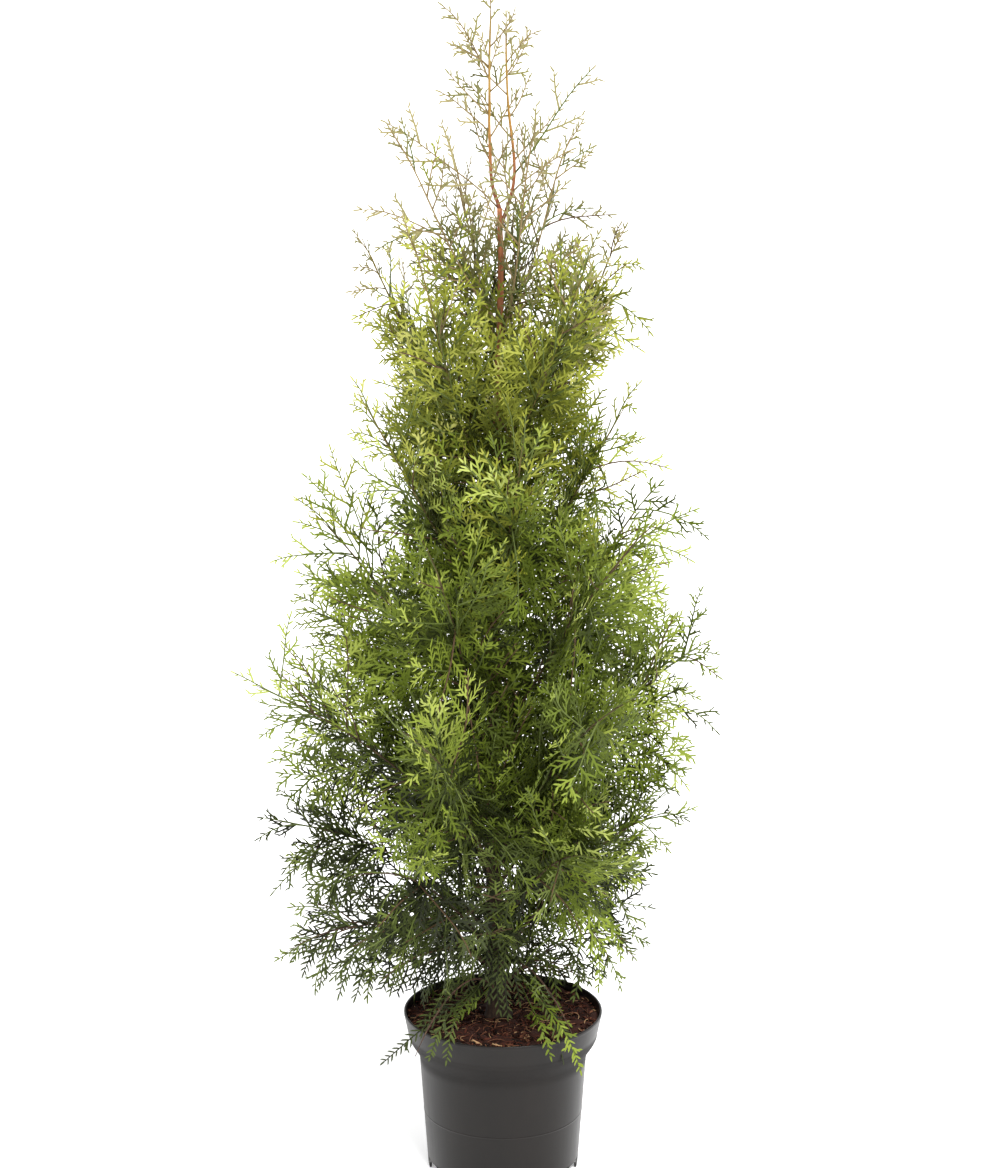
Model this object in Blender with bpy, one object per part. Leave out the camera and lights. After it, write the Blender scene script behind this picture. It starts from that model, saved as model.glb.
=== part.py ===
"""A young thuja, about 1.2 m of plant, standing in its five-litre nursery pot.

Metres, +Z up. The origin is the centre of the pot's flat underside, the front looks along -Y,
left is -X and right is +X. The trunk stands on the potting mix and runs up to a fork. Tiers of
boughs rise from it, and each bough carries one mass of foliage: a stem with sprays branching from
it by a seeded rule. Every mass keeps to the space that is nearer to its own bough than to any
other, so that no two of them touch.
"""

import math
import random
from collections import namedtuple

import bmesh
import bpy
import numpy as np
from mathutils import Vector

# ---------------------------------------------------------------- driving dimensions
GAP = 0.0003  # between solids that rest on each other

# Pot
RIM_RADIUS = 0.1150
POT_HEIGHT = 0.1900
LIP_THICKNESS = 0.0025
WALL = 0.0020
COLLAR_FOOT_RADIUS = 0.1090
COLLAR_FOOT_HEIGHT = 0.1570
BODY_TOP_RADIUS = 0.0975
BODY_TOP_HEIGHT = 0.1430
BODY_BASE_RADIUS = 0.0877
FOOT_INNER_RADIUS = 0.0740  # the pot stands on the ring outside this
HOLLOW_HEIGHT = 0.0050  # under the floor, inside that ring
PAD_RADIUS = 0.0300  # and on a pad at the centre
FLOOR_TOP = 0.0085
NOTCHES = 8
NOTCH_ARC = math.radians(19)
NOTCH_HEIGHT = 0.0105
NOTCH_DEPTH = 0.0070
DRAIN_HOLES = 4
DRAIN_RADIUS = 0.0050
DRAIN_CIRCLE = 0.0520
POT_SEGMENTS = 40

# Potting mix, filled to just under the rim
MIX_LEVEL = 0.1830
MIX_LEVEL_AT_WALL = 0.1815

# Trunk: height above the floor, then how far it has swayed to the right and to the back
TRUNK_COURSE = (
    (MIX_LEVEL + GAP, -0.007, 0.000),
    (0.450, -0.012, 0.004),
    (0.800, -0.009, -0.003),
    (1.020, -0.003, 0.002),
    (1.115, -0.004, 0.000),
)
TRUNK_RADIUS = 0.0105
TRUNK_FORK_RADIUS = 0.0027
FLARE = 0.0060
FLARE_HEIGHT = 0.0300
TRUNK_SIDES = 8

# Crown: height above the floor, then how far the tips reach to the left and to the right
CROWN_REACH = (
    (0.20, 0.240, 0.160),
    (0.31, 0.258, 0.180),
    (0.45, 0.276, 0.228),
    (0.60, 0.282, 0.250),
    (0.72, 0.240, 0.226),
    (0.80, 0.226, 0.196),
    (0.92, 0.168, 0.148),
    (1.07, 0.158, 0.152),
    (1.13, 0.146, 0.136),
    (1.20, 0.128, 0.100),
    (1.34, 0.050, 0.040),
)

# Tiers of boughs. A tier has so many boughs, evenly round the trunk. Start and tip are heights
# above the floor. Azimuths are turned from +X towards +Y, a rise is above the horizontal, both in
# degrees. Bare is the share of a bough without foliage, bend how far its sprays turn up or down.
Tier = namedtuple(
    "Tier",
    "name boughs azimuth start tip rise_at_trunk rise_at_tip radius bare spray spacing bend",
)
TIERS = (
    Tier("skirt", 6, 179, 0.222, 0.256, 48, -40, 0.0028, 0.00, 0.105, 0.026, -0.50),
    Tier("low", 6, 178, 0.262, 0.425, 50, 2, 0.0034, 0.24, 0.140, 0.020, -0.25),
    Tier("lower_middle", 6, 190, 0.345, 0.610, 55, 26, 0.0034, 0.24, 0.150, 0.0245, 0.05),
    Tier("middle", 5, 176, 0.490, 0.775, 56, 44, 0.0031, 0.22, 0.135, 0.028, 0.25),
    Tier("upper", 5, 205, 0.640, 0.930, 56, 60, 0.0028, 0.00, 0.120, 0.029, 0.35),
    Tier("top", 5, 165, 0.800, 1.100, 55, 64, 0.0025, 0.00, 0.105, 0.029, 0.40),
    Tier("crown", 4, 200, 0.975, 1.195, 50, 55, 0.0021, 0.00, 0.080, 0.030, 0.40),
)
FRONT_DROOP = 0.055  # how much lower the front of the skirt hangs, over the rim of the pot
AZIMUTH_JITTER = math.radians(7)
START_STAGGER = 0.012
TIP_JITTER = 0.022
REACH_SPREAD = (0.95, 1.06)

# The two leaders above the fork: height, sway to the right, sway to the back
LEADER_COURSE = (
    (1.114, -0.004, 0.000),
    (1.150, -0.013, -0.002),
    (1.240, -0.015, 0.000),
    (1.348, -0.013, 0.002),
)
SECOND_LEADER_COURSE = (
    (1.092, -0.003, 0.000),
    (1.150, 0.012, 0.012),
    (1.230, 0.005, 0.028),
    (1.318, 0.002, 0.036),
)
LEADER_RADIUS = 0.0022
LEADER_SPRAY = 0.075
LEADER_SPACING = 0.025
LONG_SHOOT = 0.140  # grows from the foot of the second leader, out to the right
LONG_SHOOT_PLACE = 0.062
LONG_SHOOT_TEETH = 0.26
LONG_SHOOT_RISE = math.radians(50)

# Foliage
TIP_SPRAY = 0.50  # the spray that ends a stem, as a share of the mass's longest spray
SPRAY_ANGLE = math.radians(48)
SPRAY_TAPER = 0.42  # how much shorter the last spray of a stem is than its first
BOUGH_ROLL = math.radians(45)  # how far the plane of a bough's sprays turns from upright
ROLL_SPREAD = (math.radians(62), math.radians(42))  # at a stem's foot and at its tip
TOOTH_SHARE = 0.54  # longest side shoot of a spray, as a share of the spray
TOOTH_TAPER = 0.42  # how much shorter the last side shoot is than the first
TOOTH_ANGLE = math.radians(44)
THREE_TEETH_FROM = 0.095  # a shorter spray has two side shoots on each side
TWIG_SHARE = 0.13  # bare foot of a spray
NOTCH_SHARE = 0.24  # half-width of a spray between two side shoots, as a share of theirs
TWIG_HALF = 0.0010
BLADE_HALF_THICKNESS = 0.0007
STEM_TIP_RADIUS = 0.0014
TERRITORY_MARGIN = 0.0020
LIMB_MARGIN = 0.0016
SHRINK_STEPS = (1.0, 0.88, 0.76, 0.64, 0.52)

# ---------------------------------------------------------------- colours (linear, roughness)
POT_GREY = ((0.045, 0.042, 0.039), 0.38)
MIX_BROWN = ((0.055, 0.024, 0.014), 0.95)
BARK_BROWN = ((0.110, 0.052, 0.032), 0.85)
LEAF_GREENS = (
    ("leaf_low", (0.075, 0.125, 0.018), 0.55),
    ("leaf_middle", (0.120, 0.180, 0.025), 0.55),
    ("leaf_upper", (0.200, 0.250, 0.035), 0.55),
    ("leaf_leader", (0.380, 0.320, 0.080), 0.60),
)
LEAF_BANDS = (0.45, 0.80, 1.25)  # heights of the masses' tips between one green and the next


# ---------------------------------------------------------------- small helpers
def draws(*key):
    """A random stream of its own for each named thing, so that no draw depends on another."""
    return random.Random("-".join(str(k) for k in key))


def material(name, colour, roughness):
    made = bpy.data.materials.new(name)
    made.use_nodes = True
    shader = made.node_tree.nodes["Principled BSDF"]
    shader.inputs["Base Color"].default_value = (*colour, 1.0)
    shader.inputs["Roughness"].default_value = roughness
    shader.inputs["Metallic"].default_value = 0.0
    made.diffuse_color = (*colour, 1.0)
    return made


def object_from(name, mesh, surface, collection=None):
    made = bpy.data.objects.new(name, mesh)
    (collection or bpy.context.scene.collection).objects.link(made)
    if surface is not None:
        mesh.materials.append(surface)
    return made


def mesh_from(name, points, faces):
    """A closed mesh with its normals pointing out."""
    grid = bmesh.new()
    verts = [grid.verts.new(p) for p in points]
    for face in faces:
        grid.faces.new([verts[i] for i in face])
    bmesh.ops.recalc_face_normals(grid, faces=grid.faces)
    mesh = bpy.data.meshes.new(name)
    grid.to_mesh(mesh)
    grid.free()
    return mesh


def turned(name, profile, segments):
    """The mesh that a closed profile of (radius, height) sweeps in one turn about +Z."""
    grid = bmesh.new()
    verts = [grid.verts.new((radius, 0.0, height)) for radius, height in profile]
    ring = list(zip(verts, verts[1:] + verts[:1]))
    on_axis = {v for v in verts if v.co.x == 0.0}
    edges = [grid.edges.new(pair) for pair in ring if not set(pair) <= on_axis]
    bmesh.ops.spin(
        grid,
        geom=verts + edges,
        cent=(0.0, 0.0, 0.0),
        axis=(0.0, 0.0, 1.0),
        angle=math.tau,
        steps=segments,
    )
    bmesh.ops.remove_doubles(grid, verts=grid.verts, dist=1e-6)
    bmesh.ops.recalc_face_normals(grid, faces=grid.faces)
    mesh = bpy.data.meshes.new(name)
    grid.to_mesh(mesh)
    grid.free()
    return mesh


def smooth(obj, angle=35):
    obj.data.shade_smooth()
    obj.data.set_sharp_from_angle(angle=math.radians(angle))


def between(table, key):
    """The columns of a table at a key, read straight between its rows."""
    keys = [row[0] for row in table]
    return [float(np.interp(key, keys, column)) for column in list(zip(*table))[1:]]


# ---------------------------------------------------------------- courses
class Course:
    """A smooth line through points, read by the distance along it."""

    STEPS = 48

    def __init__(self, points):
        self.points = [Vector(p) for p in points]
        self.lengths = [0.0]
        for a, b in zip(self.points, self.points[1:]):
            self.lengths.append(self.lengths[-1] + (b - a).length)
        self.length = self.lengths[-1]

    def at(self, distance):
        """(point, direction) at a distance along the line."""
        place = min(max(distance, 0.0), self.length)
        i = min(np.searchsorted(self.lengths, place, side="right") - 1, len(self.points) - 2)
        a, b = self.points[i], self.points[i + 1]
        share = (place - self.lengths[i]) / (self.lengths[i + 1] - self.lengths[i])
        before = self.points[max(i - 1, 0)]
        after = self.points[min(i + 2, len(self.points) - 1)]
        start, end = (b - before).normalized(), (after - a).normalized()
        return a.lerp(b, share), start.lerp(end, share).normalized()


def bezier(a, b, c, d):
    """The course of a cubic curve with these four control points."""
    made = []
    for i in range(Course.STEPS + 1):
        t = i / Course.STEPS
        s = 1 - t
        made.append(a * s**3 + b * 3 * s * s * t + c * 3 * s * t * t + d * t**3)
    return Course(made)


def spline(rows):
    """The course through rows of (height, right, back), rounded at each row."""
    points = [Vector((right, back, height)) for height, right, back in rows]
    padded = [points[0] * 2 - points[1], *points, points[-1] * 2 - points[-2]]
    steps = Course.STEPS // (len(points) - 1)
    made = []
    for a, b, c, d in zip(padded, padded[1:], padded[2:], padded[3:]):
        for i in range(steps):
            t = i / steps
            made.append(
                (b * 2 + (c - a) * t + (a * 2 - b * 5 + c * 4 - d) * t**2 + (b * 3 - a - c * 3 + d) * t**3) / 2
            )
    return Course([*made, points[-1]])


def trunk_radius(height):
    """Half the trunk's thickness at a height: a taper, and a flare at the root collar."""
    foot, fork = TRUNK_COURSE[0][0], TRUNK_COURSE[-1][0]
    share = min(max((height - foot) / (fork - foot), 0.0), 1.0)
    flare = FLARE * math.exp(-(height - foot) / FLARE_HEIGHT * 2.2)
    return TRUNK_RADIUS + (TRUNK_FORK_RADIUS - TRUNK_RADIUS) * share**0.85 + flare


def trunk_axis(height):
    right, back = between(TRUNK_COURSE, min(height, TRUNK_COURSE[-1][0]))
    return Vector((right, back, height))


def crown_reach(height, azimuth):
    """How far from the trunk the tips reach, at a height and in a direction."""
    left, right = between(CROWN_REACH, height)
    return left + (right - left) * (1 + math.cos(azimuth)) / 2


# ---------------------------------------------------------------- the plan of the boughs
Bough = namedtuple("Bough", "name course stem radius bare spray spacing bend roll")


def plan_bough(tier, index):
    rng = draws(tier.name, index)
    azimuth = math.radians(tier.azimuth) + index * math.tau / tier.boughs
    azimuth += rng.uniform(-1, 1) * AZIMUTH_JITTER
    start = tier.start + START_STAGGER * (-1) ** index
    tip = tier.tip + rng.uniform(-1, 1) * TIP_JITTER
    if tier.name == "skirt":
        tip += FRONT_DROOP * min(math.sin(azimuth), 0.0)
    reach = crown_reach(tip, azimuth) * rng.uniform(*REACH_SPREAD)
    out = Vector((math.cos(azimuth), math.sin(azimuth), 0.0))

    def towards(rise):
        return out * math.cos(math.radians(rise)) + Vector((0, 0, math.sin(math.radians(rise))))

    foot = trunk_axis(start)
    end = trunk_axis(tip) + out * reach
    span = (end - foot).length
    course = bezier(
        foot,
        foot + towards(tier.rise_at_trunk) * span * 0.42,
        end - towards(tier.rise_at_tip) * span * 0.34,
        end,
    )
    roll = rng.uniform(-1, 1) * BOUGH_ROLL
    stem = course.length - tier.spray * TIP_SPRAY
    name = f"{tier.name}_{index + 1}"
    return Bough(name, course, stem, *tier[7:], roll)


def plan():
    boughs = [plan_bough(tier, i) for tier in TIERS for i in range(tier.boughs)]
    for name, rows in (("leader", LEADER_COURSE), ("second_leader", SECOND_LEADER_COURSE)):
        course = spline(rows)
        stem = course.length - LEADER_SPRAY * TIP_SPRAY
        look = (LEADER_RADIUS, 0.0, LEADER_SPRAY, LEADER_SPACING, 0.45, 0.0)
        boughs.append(Bough(name, course, stem, *look))
    return boughs


# ---------------------------------------------------------------- where a mass may grow
class Space:
    """Knows which points of space belong to which mass, and what is taken by wood and pot."""

    GUIDE_STEPS = 14

    def __init__(self, boughs):
        starts, ends, owners, limbs = [], [], [], []
        for owner, bough in enumerate(boughs):
            cut = bough.course.length * bough.bare
            guides = [bough.course]
            if bough.name == "second_leader":
                guides.append(long_shoot(bough)[0])
            for guide in guides:
                for i in range(self.GUIDE_STEPS):
                    near, far = (guide.length * (i + j) / self.GUIDE_STEPS for j in (0, 1))
                    starts.append(guide.at(near)[0])
                    ends.append(guide.at(far)[0])
                    owners.append(owner)
                    limbs.append(near < cut)
        self.starts, self.ends = np.array(starts), np.array(ends)
        self.owners, self.limbs = np.array(owners), np.array(limbs)
        self.radii = np.array([boughs[o].radius for o in owners])
        self.names = [b.name for b in boughs]

    def distances(self, points):
        along = self.ends - self.starts
        away = points[:, None, :] - self.starts[None]
        share = (away * along).sum(-1) / (along * along).sum(-1)
        nearest = self.starts + np.clip(share, 0, 1)[..., None] * along
        return np.linalg.norm(points[:, None, :] - nearest, axis=-1)

    def holds(self, owner, points):
        """True if all the points lie in the owner's space, clear of all wood, pot and mix."""
        points = np.array([tuple(p) for p in points])
        apart = self.distances(points)
        mine = apart[:, self.owners == owner].min(1)
        others = apart[:, self.owners != owner]
        if (mine + TERRITORY_MARGIN > others.min(1)).any():
            return False
        if (others < self.radii[self.owners != owner] + LIMB_MARGIN).any():
            return False
        own_limb = apart[:, (self.owners == owner) & self.limbs]
        if own_limb.size and (own_limb < self.radii[owner] + LIMB_MARGIN).any():
            return False
        return all(clear_of_trunk(Vector(p)) and clear_of_pot(Vector(p)) for p in points)


def clear_of_trunk(point):
    if point.z > TRUNK_COURSE[-1][0] + LIMB_MARGIN:
        return True
    return (point - trunk_axis(point.z)).length > trunk_radius(point.z) + LIMB_MARGIN


def clear_of_pot(point):
    radius = math.hypot(point.x, point.y)
    if point.z > POT_HEIGHT + LIMB_MARGIN:
        return True
    if radius < RIM_RADIUS - LIP_THICKNESS - LIMB_MARGIN:
        return point.z > MIX_LEVEL + LIMB_MARGIN
    return radius > RIM_RADIUS + LIMB_MARGIN


# ---------------------------------------------------------------- wood
def tube_mesh(name, course, start, end, radius_at, sides, rings, turn=0.0):
    """A tapering limb along a course, with flat ends square to it."""
    points, faces = [], []
    across = Vector((0, 1, 0)) if abs(course.at(start)[1].z) > 0.9 else Vector((0, 0, 1))
    for ring in range(rings + 1):
        place = start + (end - start) * ring / rings
        centre, direction = course.at(place)
        side = (across - direction * across.dot(direction)).normalized()
        other = direction.cross(side)
        for i in range(sides):
            angle = math.tau * i / sides + turn
            points.append(centre + (side * math.cos(angle) + other * math.sin(angle)) * radius_at(place))
    for ring in range(rings):
        for i in range(sides):
            j = (i + 1) % sides
            faces.append([ring * sides + i, ring * sides + j, (ring + 1) * sides + j, (ring + 1) * sides + i])
    faces.append(list(range(sides))[::-1])
    faces.append([rings * sides + i for i in range(sides)])
    return mesh_from(name, points, faces)


def trunk_mesh(name, grow=0.0):
    """The trunk, or its shape grown by a clearance."""
    course = spline(TRUNK_COURSE)
    flare_rings = (0.0, 0.008, 0.018, 0.034)
    rest = [0.034 + (course.length - 0.034) * (i + 1) / 10 for i in range(10)]
    places = [*flare_rings, *rest]
    points, faces = [], []
    for place in places:
        centre, direction = course.at(place)
        if place == 0.0:
            direction = Vector((0, 0, 1))
        if place == places[-1]:
            centre = centre + direction * grow
        side = Vector((1, 0, 0))
        side = (side - direction * side.dot(direction)).normalized()
        other = direction.cross(side)
        for i in range(TRUNK_SIDES):
            angle = math.tau * i / TRUNK_SIDES
            buttress = 1 + 0.16 * math.cos(angle * 3 + 0.6) * math.exp(-place / 0.015)
            radius = trunk_radius(centre.z) * buttress + grow
            points.append(centre + (side * math.cos(angle) + other * math.sin(angle)) * radius)
    sides = TRUNK_SIDES
    for ring in range(len(places) - 1):
        for i in range(sides):
            j = (i + 1) % sides
            faces.append([ring * sides + i, ring * sides + j, (ring + 1) * sides + j, (ring + 1) * sides + i])
    faces.append(list(range(sides))[::-1])
    faces.append([(len(places) - 1) * sides + i for i in range(sides)])
    return mesh_from(name, points, faces)


def stem_radius(bough, place):
    """A bough tapers evenly from the trunk to its tip."""
    return bough.radius + (STEM_TIP_RADIUS - bough.radius) * place / bough.stem


def join(obj, operation, **operand):
    cut = obj.modifiers.new(operation.lower(), "BOOLEAN")
    cut.operation = operation
    cut.solver = "EXACT"
    if "collection" in operand:
        cut.operand_type = "COLLECTION"
    for key, value in operand.items():
        setattr(cut, key, value)
    return cut


def apply_modifiers(obj):
    """Replaces an object's mesh by what its modifiers make of it."""
    surface = obj.data.materials[0]
    graph = bpy.context.evaluated_depsgraph_get()
    made = bpy.data.meshes.new_from_object(obj.evaluated_get(graph))
    obj.modifiers.clear()
    obj.data = made
    made.materials.clear()
    made.materials.append(surface)
    keep_main_piece(made)


def keep_main_piece(mesh):
    """Drops loose scraps, and the walls of any hollow that fusing has sealed."""
    grid = bmesh.new()
    grid.from_mesh(mesh)
    pieces, seen = [], set()
    for vert in grid.verts:
        if vert in seen:
            continue
        piece, front = [], [vert]
        seen.add(vert)
        while front:
            at = front.pop()
            piece.append(at)
            for edge in at.link_edges:
                other = edge.other_vert(at)
                if other not in seen:
                    seen.add(other)
                    front.append(other)
        pieces.append(piece)
    main = max(pieces, key=len)
    loose = [vert for piece in pieces if piece is not main for vert in piece]
    bmesh.ops.delete(grid, geom=loose, context="VERTS")
    grid.to_mesh(mesh)
    grid.free()


# ---------------------------------------------------------------- foliage
class Spray:
    """A flat, toothed spray: a bare twig that widens into a blade with side shoots as teeth."""

    def __init__(self, course, side, key, tooth_share=TOOTH_SHARE):
        self.course, self.side, self.key = course, side, key
        self.tooth_share = tooth_share
        self.teeth = 3 if course.length > THREE_TEETH_FROM else 2

    def frame(self, place):
        centre, direction = self.course.at(place)
        side = (self.side - direction * self.side.dot(direction)).normalized()
        return centre, direction, side, side.cross(direction)

    def shape(self):
        """(points, faces). The blade is thick along its spine and sharp at its edge."""
        rng = draws(self.key, "teeth")
        length = self.course.length
        first = length * TWIG_SHARE
        spacing = (length * 0.84 - first) / self.teeth
        points, faces = [], []

        def put(point):
            points.append(point)
            return len(points) - 1

        def place(along, out):
            centre, _, side, _ = self.frame(along)
            return put(centre + side * out)

        # The foot of the twig, sunk into the stem
        centre, direction, side, normal = self.frame(0.0)
        root = centre - direction * 0.0004
        foot = [
            put(root + normal * TWIG_HALF),
            put(root - side * TWIG_HALF - normal * TWIG_HALF * 0.6),
            put(root + side * TWIG_HALF - normal * TWIG_HALF * 0.6),
        ]
        spine = []
        for i in range(self.teeth):
            centre, _, _, normal = self.frame(first + spacing * (i + 0.25))
            thick = BLADE_HALF_THICKNESS * (1.25 - 0.25 * i)
            spine.append((put(centre + normal * thick), put(centre - normal * thick)))
        left, right = ([place(first, hand * TWIG_HALF * 1.2)] for hand in (-1, 1))
        for i in range(self.teeth):
            reach = length * self.tooth_share * (1 - TOOTH_TAPER * i / (self.teeth - 1))
            for hand, edge in ((-1, left), (1, right)):
                angle = TOOTH_ANGLE * rng.uniform(0.88, 1.12)
                tooth = reach * rng.uniform(0.85, 1.08)
                along = first + spacing * i + tooth * math.cos(angle)
                out = tooth * math.sin(angle)
                edge.append(place(min(along, length * 0.93), hand * out))
                if i < self.teeth - 1:
                    edge.append(place(first + spacing * (i + 1.35), hand * out * NOTCH_SHARE))
        tip = place(length, 0.0)
        left.append(tip)
        right.append(tip)

        top, under = spine[0]
        faces += [
            [foot[0], foot[1], foot[2]],
            [foot[0], top, left[0]],
            [foot[0], left[0], foot[1]],
            [foot[1], left[0], under],
            [foot[1], under, foot[2]],
            [foot[2], under, right[0]],
            [foot[2], right[0], foot[0]],
            [foot[0], right[0], top],
        ]
        for edge in (left, right):
            for face in (0, 1):
                for i in range(self.teeth):
                    near, tooth, notch = edge[2 * i : 2 * i + 3]
                    faces.append([spine[i][face], near, tooth])
                    faces.append([spine[i][face], tooth, notch])
                    if i < self.teeth - 1:
                        faces.append([spine[i][face], notch, spine[i + 1][face]])
        return points, faces


def sample(points, faces):
    """The points of a spray and places on its edges, apart from its foot, which is in the stem."""
    found = list(points[3:])
    for face in faces[8:]:
        for a, b in zip(face, face[1:] + face[:1]):
            if a < b and (points[a] - points[b]).length > 0.012:
                found += [points[a].lerp(points[b], share) for share in (0.25, 0.5, 0.75)]
    return found


def spray_places(bough):
    """Where sprays leave a stem: (distance along the course, 0 at the foot to 1 at the tip)."""
    bare = bough.course.length * bough.bare
    first = max(bare + 0.012, 0.030 if bough.bare == 0.0 else 0.0)
    run = bough.stem - first
    count = max(2, round(run / bough.spacing))
    return [(first + run * i / count, i / count) for i in range(count)]


def spray_course(root, heading, length, bend):
    return bezier(
        root,
        root + heading * length * 0.35,
        root + heading * length * 0.68 + Vector((0, 0, bend * length * 0.10)),
        root + (heading + Vector((0, 0, bend * 0.34))).normalized() * length,
    )


def long_shoot(bough):
    """(course, a direction in its plane) of the long shoot on the second leader."""
    root = bough.course.at(LONG_SHOOT_PLACE)[0]
    heading = Vector((math.cos(LONG_SHOOT_RISE), 0, math.sin(LONG_SHOOT_RISE)))
    return spray_course(root, heading, LONG_SHOOT, 0.15), side_of(heading, 0.3)


def planned_sprays(bough):
    """(root, heading, a direction in the spray's plane, length, key) for each spray of a mass."""
    for k, (place, share) in enumerate(spray_places(bough)):
        rng = draws(bough.name, "spray", k)
        root, direction = bough.course.at(place)
        roll = bough.roll + rng.uniform(-1, 1) * (
            ROLL_SPREAD[0] + (ROLL_SPREAD[1] - ROLL_SPREAD[0]) * share
        )
        out = side_of(direction, roll) * (-1) ** k
        angle = SPRAY_ANGLE * rng.uniform(0.85, 1.15)
        heading = direction * math.cos(angle) + out * math.sin(angle)
        plane = (direction - heading * direction.dot(heading)).normalized()
        yield root, heading, plane, bough.spray * (1 - SPRAY_TAPER * share) * rng.uniform(0.9, 1.12), k


def grow(bough, owner, space):
    """The spray meshes of one mass, each shrunk or left out where it would leave its space."""
    meshes = []

    def keep(course, plane, key, tooth_share=TOOTH_SHARE):
        points, faces = Spray(course, plane, f"{bough.name}-{key}", tooth_share).shape()
        if not space.holds(owner, sample(points, faces)):
            return False
        meshes.append(mesh_from(f"{bough.name}_spray_{key}", points, faces))
        return True

    for root, heading, plane, length, key in planned_sprays(bough):
        for shrink in SHRINK_STEPS:
            if keep(spray_course(root, heading, length * shrink, bough.bend), plane, key):
                break

    # The stem runs on into the spray at its tip
    last = [bough.stem - 0.004 + (bough.course.length - bough.stem + 0.004) * i / 8 for i in range(9)]
    tip = Course([bough.course.at(place)[0] for place in last])
    keep(tip, side_of(bough.course.at(bough.stem)[1], bough.roll), "tip")

    if bough.name == "second_leader":
        for shrink in SHRINK_STEPS:
            if keep(*long_shoot(bough), "long", LONG_SHOOT_TEETH * shrink):
                break
    return meshes


def side_of(direction, roll):
    """A direction square to a course: in the upright plane through it, turned by roll."""
    up = Vector((0, 0, 1)) if abs(direction.z) < 0.97 else Vector((1, 0, 0))
    up = (up - direction * up.dot(direction)).normalized()
    return up * math.cos(roll) + direction.cross(up) * math.sin(roll)


def foliage(bough, owner, space, surface, trunk_clearance):
    """One mass: its stem and sprays joined into one solid."""
    bare = bough.course.length * bough.bare
    stem = tube_mesh(
        f"foliage_{bough.name}",
        bough.course,
        bare + GAP if bough.bare else 0.0,
        bough.stem,
        lambda place: stem_radius(bough, place),
        4,
        4,
        math.radians(20),
    )
    mass = object_from(f"foliage_{bough.name}", stem, surface)
    sprays = bpy.data.collections.new(f"sprays_{bough.name}")
    for mesh in grow(bough, owner, space):
        object_from(mesh.name, mesh, None, sprays)
    join(mass, "UNION", collection=sprays)
    if bough.bare == 0.0:
        join(mass, "DIFFERENCE", object=trunk_clearance)
    apply_modifiers(mass)
    for spray in list(sprays.objects):
        bpy.data.objects.remove(spray)
    bpy.data.collections.remove(sprays)
    return mass


def limb(bough, surface, trunk_clearance):
    """The bare foot of a bough, from the trunk's bark to where its foliage begins."""
    mesh = tube_mesh(
        f"bough_{bough.name}",
        bough.course,
        0.0,
        bough.course.length * bough.bare,
        lambda place: stem_radius(bough, place),
        6,
        2,
    )
    made = object_from(f"bough_{bough.name}", mesh, surface)
    join(made, "DIFFERENCE", object=trunk_clearance)
    smooth(made)
    return made


# ---------------------------------------------------------------- pot and mix
def cutter(name, mesh):
    made = object_from(name, mesh, None)
    made.hide_render = True
    made.display_type = "WIRE"
    return made


def notch_mesh(index):
    """A low arch through the outside of the foot ring."""
    middle = math.tau * (index + 0.5) / NOTCHES
    outline = ((-1.05, -0.4), (-1, 0.1), (-0.8, 0.6), (0, 1), (0.8, 0.6), (1, 0.1), (1.05, -0.4))
    points = []
    for radius in (BODY_BASE_RADIUS - NOTCH_DEPTH, BODY_BASE_RADIUS + 0.004):
        for across, up in outline:
            angle = middle + across * NOTCH_ARC / 2
            points.append(Vector((radius * math.cos(angle), radius * math.sin(angle), up * NOTCH_HEIGHT)))
    count = len(outline)
    faces = [[i, (i + 1) % count, count + (i + 1) % count, count + i] for i in range(count)]
    # Both ends bend with the ring, so each is two flat halves
    for base in (0, count):
        faces.append([base + i for i in (0, 1, 2, 3)])
        faces.append([base + i for i in (3, 4, 5, 6)])
        faces.append([base + i for i in (0, 3, 6)])
    return mesh_from(f"notch_{index + 1}", points, faces)


def drain_mesh(index):
    angle = math.tau * (index / DRAIN_HOLES + 4.5 / POT_SEGMENTS)
    grid = bmesh.new()
    bmesh.ops.create_cone(
        grid,
        cap_ends=True,
        segments=6,
        radius1=DRAIN_RADIUS,
        radius2=DRAIN_RADIUS,
        depth=0.02,
    )
    centre = Vector((DRAIN_CIRCLE * math.cos(angle), DRAIN_CIRCLE * math.sin(angle), FLOOR_TOP))
    bmesh.ops.translate(grid, verts=grid.verts, vec=centre)
    mesh = bpy.data.meshes.new(f"drain_{index + 1}")
    grid.to_mesh(mesh)
    grid.free()
    return mesh


INNER_WALL = (
    (FLOOR_TOP, BODY_BASE_RADIUS - WALL),
    (BODY_TOP_HEIGHT, BODY_TOP_RADIUS - WALL),
    (COLLAR_FOOT_HEIGHT + 0.001, COLLAR_FOOT_RADIUS - WALL),
    (POT_HEIGHT, RIM_RADIUS - LIP_THICKNESS),
)


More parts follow.
